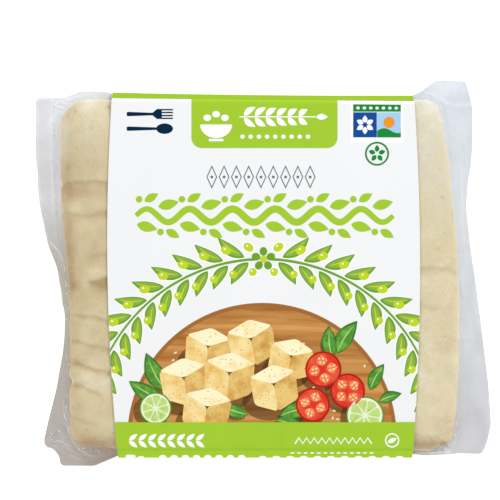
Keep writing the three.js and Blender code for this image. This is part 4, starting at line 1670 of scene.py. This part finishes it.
class MESH_OT_print_ornaments(bpy.types.Operator):
    """Prints the ornaments of the sleeve's upper half"""

    bl_idname = "mesh.print_ornaments"
    bl_label = "Print: ornaments"

    def execute(self, context):
        settings = context.scene.sleeve_settings
        white = ink_material("white", "FFFFFF", 0.01)
        green = ink_material("ornament_green", settings.green)
        navy = ink_material("navy", "0B2A45")
        grey = ink_material("grey", "77787A")
        dark = ink_material("dark_green", "1F8A3A")
        sky = ink_material("sky", "A9D2F0")
        orange = ink_material("orange", "F29A2E")
        blue = ink_material("blue", "1B4F9C")
        ink("tab_bowl", bowl(-13.2, 43.2, 4.6), 2, white)
        ink("tab_sprig", sprig(-6.5, 45.4, 22, 6, 1.7), 2, white)
        dots = [oval(-5.6 + 2.35 * i, 39.7, 0.62, count=20) for i in range(9)]
        ink("tab_dots", dots, 2, white)
        ink("cutlery", fork_and_spoon(-38.9, 44.1), 1, navy)
        ink("chain", lozenge_chain(-16.2, 15.6, 28.1, 6.8, 9, 0.3), 1, grey)
        print_vine(("vine_stem", "vine_leaves", "vine_berries"), -36.2, 37.7, 17.0, green)
        self.badge(white, dark, sky, orange, blue)
        self.band_marks(white)
        ring = [oval(33.05, 34.8, 3.45), oval(33.05, 34.8, 2.95)]
        ink("ring", [*ring, *flower(33.05, 34.8, 2.5, 5)], 2, dark)
        return {"FINISHED"}

    def band_marks(self, white):
        """White marks on the bottom band and on the panel below its fold."""
        left = [leaf(-38.2 + 2.75 * i, y, 3.0, 1.25, turn)
                for y, turn in ((-47.6, 38), (-47.8, -38)) for i in range(8)]
        wave = np.array([(9.5 + 1.1 * i, -47.7 + (0.85 if i % 2 else -0.85)) for i in range(21)])
        ink("band_leaves", left, 7, white)
        ink("band_wave", [stroke(wave, 0.42)], 7, white)
        ring = [oval(37.4, -47.6, 2.05), oval(37.4, -47.6, 1.7)]
        ink("band_ring", [*ring, leaf(36.1, -48.2, 2.9, 1.3, 24)], 7, white)
        marks = [oval(-37.9, -59.9, 1.5, 2.8), oval(-34.9, -61.6, 0.9, 2.0)]
        marks += [leaf(x, -57.6, 6.6, 2.1, -90) for x in np.arange(-28.6, -5, 3.25)]
        marks += [oval(x, -62.3, 1.1, 2.9) for x in np.arange(0.2, 40, 3.95)]
        marks += [slab(x, -55.2, x + 1.1, -53.2, (0.5,) * 4, 4) for x in np.arange(8.2, 31, 1.9)]
        ink("panel_marks", marks, 7, white)

    def badge(self, white, dark, sky, orange, blue):
        """A card with a flower, a sun and a hill."""
        ink("badge_card", [slab(25.5, 37.9, 40.6, 49.9)], 1, white)
        ink("badge_top", [slab(26.2, 46.9, 39.9, 49.3)], 2, dark)
        ink("badge_sky", [slab(33.1, 39.5, 39.9, 46.7)], 2, sky)
        ink("badge_blue", [slab(26.2, 39.5, 33.0, 46.7)], 2, blue)
        ink("badge_sun", [oval(36.5, 43.8, 1.6)], 3, orange)
        x = np.linspace(33.1, 39.9, 16)
        hill = np.column_stack([x, 41.4 + 0.7 * np.sin((x - 33.1) * 0.8)])
        ink("badge_hill", [np.vstack([[(33.1, 39.5), (39.9, 39.5)], hill[::-1]])], 4, dark)
        ink("badge_flower", flower(29.6, 43.1, 2.7, 6), 3, white)
        dots = [oval(27.6 + 1.83 * i, 48.1, 0.5, count=16) for i in range(7)]
        ink("badge_dots", dots, 3, white)


class MESH_OT_print_back(bpy.types.Operator):
    """Prints the plain design on the sleeve's back: a ruled box, a vine and a sprig"""

    bl_idname = "mesh.print_back"
    bl_label = "Print: back"

    def execute(self, context):
        green = bpy.data.materials["ink_ornament_green"]
        grey = bpy.data.materials["ink_grey"]
        top, low = BACK_MIDDLE + 36, BACK_MIDDLE - 36
        box = [slab(inset - 38, low + inset, -4 - inset, BACK_MIDDLE - 9.5 - inset)
               for inset in (0, 0.5)]
        rules = [slab(-36, y, -6.5, y + 0.3) for y in np.arange(low + 3, BACK_MIDDLE - 11, 3.1)]
        ink("back_box", [*box, *rules], 1, grey)
        names = ("back_vine", "back_leaves", "back_berries")
        print_vine(names, -36, 37, BACK_MIDDLE + 21, green)
        ink("back_sprig", sprig(4, BACK_MIDDLE - 21, 30, 7, 2.2), 1, green)
        rails = [slab(-37, top - 1, 38, top - 0.6), slab(4, low + 2, 38, low + 2.4)]
        ink("back_rails", rails, 1, green)
        return {"FINISHED"}


# ---- the garland ----

GARLAND = {"x": 0.4, "y": -45.5, "radius": 50.0, "first": 5.0, "pitch": 7.0, "pairs": 13}
# The leaves outside the arc (1) and inside it (-1): length, tilt, and degrees they stand ahead.
GARLAND_ROWS = {1: (9.6, 42, 1.2), -1: (8.2, 47, 0)}
SEED_ROW = 3.6  # the seeds' distance from the arc


def garland_place(degrees, out=0.0):
    """A point on the garland's arc, at degrees from straight up, and out from it."""
    return (GARLAND["x"], GARLAND["y"]) + (GARLAND["radius"] + out) * heading(90 - degrees)


def garland_pairs():
    """The side of the arc and the angle of each pair of leaves, down both branches."""
    return [(side, side * (GARLAND["first"] + GARLAND["pitch"] * i))
            for side in (1, -1) for i in range(GARLAND["pairs"])]


def garland_leaves(grow, wide, rows=(1, -1)):
    """The garland's leaves, made longer at both ends: two branches that run down from its top."""
    out = []
    for side, at in garland_pairs():
        for row in rows:
            size, tilt, ahead = GARLAND_ROWS[row]
            turn = -at + (0 if side > 0 else 180) + row * side * tilt
            x, y = garland_place(at + side * ahead, row * 0.75) - grow * heading(turn)
            out.append(leaf(x, y, size + 2 * grow, wide, turn, -row * side * 0.08, 24))
    return out


def garland_stems(width):
    """The two stems that carry the leaves."""
    last = GARLAND["first"] + GARLAND["pitch"] * GARLAND["pairs"]
    angles = np.linspace(GARLAND["first"] - 2.6, last, 60)
    return [stroke([garland_place(side * at) for at in angles], np.linspace(width, 0.6 * width, 60))
            for side in (1, -1)]


def garland_seeds(r, shift, stretch=1.0):
    """Seeds along both sides of the garland, round on the inside and oval on the outside."""
    out = []
    for side, at in garland_pairs():
        for row, back in ((1, 0.4), (-1, 1.2)):
            x, y = garland_place(at - side * back, row * SEED_ROW)
            long = r * (1 + 0.35 * stretch * (row > 0))
            out.append(oval(x - shift, y + shift, long, r, 90 - at - 50 * side, 28))
    return out


def bow(x, y, r):
    """The knot where the garland's two stems meet: a flower of round petals."""
    return [oval(x + 0.62 * r * math.cos(t), y + 0.62 * r * math.sin(t), 0.34 * r, 0.3 * r,
                 math.degrees(t), 20) for t in np.radians(np.arange(90, 450, 72))]


class MESH_OT_print_garland(bpy.types.Operator):
    """Prints the garland of leaves and seeds that arches over the picture"""

    bl_idname = "mesh.print_garland"
    bl_label = "Print: garland"

    def execute(self, context):
        halo = ink_material("halo", "FFFFFF", 0.01)
        edge = ink_material("leaf_edge", "6FA52B")
        blade = ink_material("leaf", "8CB34D")
        seed = ink_material("seed", "C2DA2C")
        ink("leaf_halos_out", garland_leaves(0.35, 3.9, (1,)), 0.5, halo)
        ink("leaf_halos_in", garland_leaves(0.35, 3.9, (-1,)), 0.6, halo)
        ink("seed_halos", garland_seeds(1.5, 0), 0.7, halo)
        ink("garland_stems", garland_stems(0.75), 1, edge)
        ink("garland_edges", garland_leaves(0, 3.2), 1.4, edge)
        ink("garland_leaves", garland_leaves(-0.75, 2.3), 2, blade)
        ink("garland_ribs", garland_leaves(-1.3, 0.42), 3, seed)
        ink("seeds", garland_seeds(1.15, 0), 2.4, seed)
        ink("seed_glints", garland_seeds(0.27, 0.36, 0), 3, halo)
        top = garland_place(0)
        ink("bow_petals", bow(*top, 3.6), 2, edge)
        ink("bow_middle", [oval(*top, 1.0, count=20)], 2.6, seed)
        return {"FINISHED"}


# ---- the picture of a served board ----

BOARD = {"x": 0.0, "y": -46.8, "radius": 38.7}
PICTURE_LOW = -44.5


def picture_ink(name, outlines, level, material):
    """Prints a part of the picture, held above the line where the picture ends."""
    ink(name, [np.maximum(points, (-EDGE_REACH, PICTURE_LOW)) for points in outlines],
        level, material)


def discs(rows, inset):
    """The round foods of a table's rows, smaller by an inset."""
    return [oval(x, y, r - inset) for x, y, r, _ in rows]


def wood_material():
    """Oiled wood with a grain that runs across the board."""
    finish = Finish("ink_wood", Roughness=0.5, Specular_IOR_Level=0.0)
    grain = finish.noise(60, 5, 0.6, finish.turned(12, (0.35, 6, 1)))
    base = finish.mix(finish.span(grain, 0.3, 0.7), paint("97581F"), paint("DBA25E"))
    finish.set(Base_Color=base)
    return finish.material


def toasted_material(name, pale, toasted, scale, low=0.45, high=0.7):
    """A food's printed surface that turns from one colour to another in soft patches."""
    finish = Finish("ink_" + name, Roughness=0.5, Specular_IOR_Level=0.0)
    soft = finish.span(finish.noise(scale, 5, 0.65), low, high)
    finish.set(Base_Color=finish.mix(soft, paint(pale), paint(toasted)))
    return finish.material


CUBE_SHAPE = np.array([0.62, 0.26, 0.74])  # a cube's half width, its top's drop and its height
# Cubes of tofu: place of the nearest corner's top, size, and turn. The back ones come first.
CUBES = [
    (-15.5, -20.6, 10.5, -6), (-3.2, -18.4, 10.8, 10), (8.4, -23.4, 10, -12), (-22.5, -29.6, 11, 8),
    (-9.4, -28.2, 11.6, -4), (3.4, -31.4, 10.8, 9), (-15.8, -38, 11, -9),
]
TOMATOES = [(17.6, -27.2, 5.2, 10), (24.6, -33.4, 5.0, 40), (14.6, -37.4, 4.9, -20)]
LIMES = [(29.6, -40.4, 5.4, 12), (-30.6, -38.4, 4.6, 40)]
LIME_PART = np.array([(0.12, 0), (0.66, -0.25), (0.78, -0.2), (0.82, 0), (0.78, 0.2), (0.66, 0.25)])
LEAVES = [
    (-27.5, -33.5, 12.5, 5.4, 118), (-29, -35.5, 10.5, 4.6, 152), (21.5, -22.6, 11, 5, 58),
    (20.2, -24, 9.5, 4.4, 96), (31, -33.2, 8.6, 3.9, 62), (5, -40.5, 11, 4.8, 12),
    (4, -41.6, 9.5, 4.2, -22), (-4, -40.2, 9, 4, 160), (33.5, -36.5, 7, 3.2, 20),
]


def cube_faces(x, y, size, turn):
    """The top, left and right faces of a cube seen from in front and above, with soft corners."""
    half, drop, high = CUBE_SHAPE * size
    corners = {
        "top": [(0, 0), (half, drop), (0.04 * size, 2 * drop), (-half, drop)],
        "left": [(0, 0), (-half, drop), (-0.95 * half, drop - high), (0, -high)],
        "right": [(0, 0), (0, -high), (0.95 * half, drop - high), (half, drop)],
    }
    out = {}
    for name, points in corners.items():
        closed = np.array([*points, points[0]], float)
        start = (closed[0] + closed[1]) / 2
        ring = np.vstack([start, closed[1:-1], closed[0], start])
        dense = along(ring, np.linspace(0, 1, 61))
        wide = np.vstack([dense[-8:-1], dense, dense[1:8]])
        kernel = np.ones(5) / 5
        soft = np.column_stack([np.convolve(wide[:, i], kernel, "same") for i in (0, 1)])[7:-8]
        out[name] = turned_at(soft, turn, x, y)
    return out


def cube_pores(x, y, size, turn, rng):
    """Small pores on the faces of a cube."""
    out = []
    half, drop, high = CUBE_SHAPE * size
    for _ in range(26):
        u, v = rng.uniform(0.12, 0.88, 2)
        side = rng.integers(3)
        spot = (((u - v) * half, (u + v) * drop), (-u * half, u * drop - v * high),
                (u * half, u * drop - v * high))[side]
        pore = oval(*spot, rng.uniform(0.1, 0.24), 0.12, 0, 8)
        out.append(turned_at(pore, turn, x, y))
    return out


class MESH_OT_print_picture(bpy.types.Operator):
    """Prints the picture of a round wooden board with tofu, tomato, lime and leaves"""

    bl_idname = "mesh.print_picture"
    bl_label = "Print: picture"

    def execute(self, context):
        rim, board = (oval(BOARD["x"], BOARD["y"], BOARD["radius"] - inset, count=120)
                      for inset in (0, 1.1))
        picture_ink("board_rim", [rim], 1, ink_material("wood_rim", "A56C35"))
        picture_ink("board", [board], 2, wood_material())
        self.shadows()
        self.leaves()
        self.cubes()
        self.tomatoes()
        self.limes()
        self.sesame()
        return {"FINISHED"}

    def shadows(self):
        """Soft dark places on the board under the food."""
        shade = Finish("ink_board_shade", Roughness=0.5, Specular_IOR_Level=0.2, Alpha=0.42,
                       Base_Color=paint("4A2A0E"))
        spots = [oval(x - 1.2, y - 0.9, r + 0.5) for x, y, r, _ in TOMATOES + LIMES]
        spots += [oval(x - 1.5, y - 0.45 * size, 0.7 * size, 0.52 * size)
                  for x, y, size, _ in CUBES]
        spots += [leaf(x - 0.8, y - 0.9, size, wide, turn) for x, y, size, wide, turn in LEAVES]
        for i, spot in enumerate(spots):
            if np.hypot(*(spot - (BOARD["x"], BOARD["y"])).T).max() <= BOARD["radius"] - 0.5:
                picture_ink(f"shade_{i}", [spot], 2.3 + 0.02 * i, shade.material)

    def leaves(self):
        """Leaves with a dark edge, a paler blade and a vein."""
        edge = toasted_material("leaf_dark", "35702A", "5E9A3C", 320)
        blade = toasted_material("leaf_blade", "4F9136", "82BC4E", 420)
        rib = ink_material("leaf_vein", "B4D88A")
        for i, (x, y, size, wide, turn) in enumerate(LEAVES):
            level = 3 + 0.05 * i
            whole = leaf(x, y, size, wide, turn, 0.05, 30)
            picture_ink(f"food_leaf_{i}", [whole], level, edge)
            inner = leaf(*((x, y) + 0.5 * heading(turn)), size - 1.2, wide - 0.9, turn, 0.055, 30)
            picture_ink(f"food_blade_{i}", [inner], level + 0.3, blade)
            vein = leaf(*((x, y) + 0.3 * heading(turn)), size - 1.6, 0.34, turn, 0.055, 12)
            picture_ink(f"food_vein_{i}", [vein], level + 0.5, rib)

    def cubes(self):
        """Cubes of tofu, each over the ones behind it."""
        faces = {
            "top": toasted_material("curd_top", "FFF5CC", "F7DA92", 240, 0.5, 0.72),
            "left": toasted_material("curd_left", "F9E2A0", "E8B65A", 200, 0.42, 0.7),
            "right": toasted_material("curd_right", "EBC879", "C88C3B", 200, 0.42, 0.7),
        }
        pore = ink_material("pore", "B98A45")
        rng = np.random.default_rng(7)
        for i, cube in enumerate(CUBES):
            level = 4 + 0.3 * i
            for side, points in cube_faces(*cube).items():
                picture_ink(f"cube_{i}_{side}", [points], level, faces[side])
            picture_ink(f"cube_{i}_pores", cube_pores(*cube, rng), level + 0.2, pore)

    def tomatoes(self):
        """Slices of tomato with four pockets of seeds."""
        skin = ink_material("tomato_skin", "B81E16")
        flesh = toasted_material("tomato", "DE3828", "F0664A", 350)
        pulp = toasted_material("tomato_pulp", "EE7A4B", "F6B183", 900)
        seed = ink_material("tomato_seed", "F6DFA6")
        picture_ink("tomato_skin", discs(TOMATOES, 0), 5, skin)
        picture_ink("tomato", discs(TOMATOES, 0.5), 5.4, flesh)
        pockets, seeds = [], []
        for x, y, r, start in TOMATOES:
            for i in range(4):
                pocket = leaf(0.2 * r, 0, 0.6 * r, 0.6 * r, 0)
                pockets.append(turned_at(pocket, start + 90 * i, x, y))
                seeds += [turned_at(oval(a * r, b * r, 0.42, 0.24, 15, 12), start + 90 * i, x, y)
                          for a, b in ((0.42, 0.1), (0.58, -0.09), (0.36, -0.1), (0.62, 0.12))]
        picture_ink("tomato_pulp", pockets, 5.7, pulp)
        picture_ink("tomato_seeds", seeds, 6, seed)

    def limes(self):
        """Slices of lime with eight parts."""
        peel = ink_material("lime_peel", "5E9C2E")
        pith = ink_material("lime_pith", "EEF4D6")
        flesh = toasted_material("lime_flesh", "C6DE84", "A3CB58", 700)
        picture_ink("lime_peel", discs(LIMES, 0), 5, peel)
        picture_ink("lime_pith", discs(LIMES, 0.4), 5.4, pith)
        parts = [turned_at(LIME_PART * r, start + 45 * i, x, y)
                 for x, y, r, start in LIMES for i in range(8)]
        picture_ink("lime_parts", parts, 5.7, flesh)

    def sesame(self):
        """Sesame seeds strewn over the board."""
        rng = np.random.default_rng(11)
        seeds = []
        while len(seeds) < 34:
            angle, r = rng.uniform(0.05 * math.pi, 0.95 * math.pi), rng.uniform(20, 36)
            x, y = BOARD["x"] + r * math.cos(angle), BOARD["y"] + r * math.sin(angle)
            if y > PICTURE_LOW + 2:
                seeds.append(oval(x, y, 0.5, 0.27, rng.uniform(0, 180), 12))
        ink("sesame", seeds, 2.9, ink_material("sesame", "F2E2BC"))


# ---- the stage ----

AIM = (-3.1, 6.7, MID_Z)
ELEVATION = 89.6
SENSOR = 36
ROOM_LIGHT = 0.615
FLOOR_GLOW = 0.5
# Soft lamps: name, place and size in metres, and power.
LAMPS = (("key", (0.6, 0.8, 0.9), 0.45, 7.0), ("fill", (-0.7, -0.5, 1.1), 0.9, 4.5))
LAMPS_AIM = (0, 0, 0.013)


def turned_to(direction):
    """The rotation of a lamp or camera that looks in a direction."""
    return direction.to_track_quat("-Z", "Y").to_euler()


class SCENE_OT_tofu_stage(bpy.types.Operator):
    """Sets up the floor, the light and the camera"""

    bl_idname = "scene.tofu_stage"
    bl_label = "Stage"

    def execute(self, context):
        settings = context.scene.stage_settings
        self.floor(settings)
        self.lights()
        self.camera(context, settings)
        context.scene.view_settings.view_transform = "Standard"
        return {"FINISHED"}

    def floor(self, settings):
        deselect()
        bpy.ops.mesh.primitive_plane_add(size=8)
        floor = named("floor")
        finish = Finish("pale_floor", Roughness=0.9, Base_Color=opaque(settings.floor),
                        Emission_Color=(1, 1, 1, 1), Emission_Strength=FLOOR_GLOW)
        floor.data.materials.append(finish.material)

    def lights(self):
        world = bpy.data.worlds.new("soft_room")
        bpy.context.scene.world = world
        world.use_nodes = True
        background = world.node_tree.nodes["Background"]
        background.inputs["Color"].default_value = (1, 1, 1, 1)
        background.inputs["Strength"].default_value = ROOM_LIGHT
        for name, place, size, power in LAMPS:
            bpy.ops.object.light_add(type="AREA", location=place)
            lamp = bpy.context.object
            lamp.name = name
            lamp.data.size = size
            lamp.data.energy = power
            aim = Vector(LAMPS_AIM) - Vector(place)
            lamp.rotation_euler = turned_to(aim)

    def camera(self, context, settings):
        data = bpy.data.cameras.new("camera")
        camera = bpy.data.objects.new("camera", data)
        context.scene.collection.objects.link(camera)
        data.sensor_width = SENSOR
        data.lens = SENSOR * settings.distance / settings.view_width
        data.clip_end = 20
        angle = math.radians(ELEVATION)
        back = Vector((0, -math.cos(angle), math.sin(angle)))
        camera.location = Vector(AIM) * MM + back * settings.distance
        camera.rotation_euler = turned_to(-back)
        context.scene.camera = camera


# ---- the add-on ----


OPERATORS = (
    MESH_OT_pressed_tofu,
    MESH_OT_film_pouch,
    MESH_OT_paper_sleeve,
    MESH_OT_print_fields,
    MESH_OT_print_ornaments,
    MESH_OT_print_back,
    MESH_OT_print_garland,
    MESH_OT_print_picture,
    SCENE_OT_tofu_stage,
)
GROUPS = {
    "tofu_settings": TofuSettings,
    "film_settings": FilmSettings,
    "sleeve_settings": SleeveSettings,
    "stage_settings": StageSettings,
}


class VIEW3D_PT_tofu_pack(bpy.types.Panel):
    """Lists the pack's settings and the operators that make it"""

    bl_label = "Tofu pack"
    bl_space_type = "VIEW_3D"
    bl_region_type = "UI"
    bl_category = "Tofu pack"

    def draw(self, context):
        for name, group in GROUPS.items():
            box = self.layout.box()
            box.label(text=group.__doc__)
            for key in group.__annotations__:
                box.prop(getattr(context.scene, name), key)
        for operator in OPERATORS:
            self.layout.operator(operator.bl_idname)


CLASSES = (*GROUPS.values(), *OPERATORS, VIEW3D_PT_tofu_pack)


def register():
    for part in CLASSES:
        bpy.utils.register_class(part)
    for name, group in GROUPS.items():
        setattr(bpy.types.Scene, name, PointerProperty(type=group))


def unregister():
    for name in GROUPS:
        delattr(bpy.types.Scene, name)
    for part in reversed(CLASSES):
        bpy.utils.unregister_class(part)


def main():
    """Builds the pack and its stage."""
    register()
    bpy.ops.mesh.pressed_tofu()
    bpy.ops.mesh.film_pouch()
    bpy.ops.mesh.paper_sleeve()
    bpy.ops.mesh.print_fields()
    bpy.ops.mesh.print_ornaments()
    bpy.ops.mesh.print_back()
    bpy.ops.mesh.print_garland()
    bpy.ops.mesh.print_picture()
    bpy.ops.scene.tofu_stage()


if __name__ == "__main__":
    main()
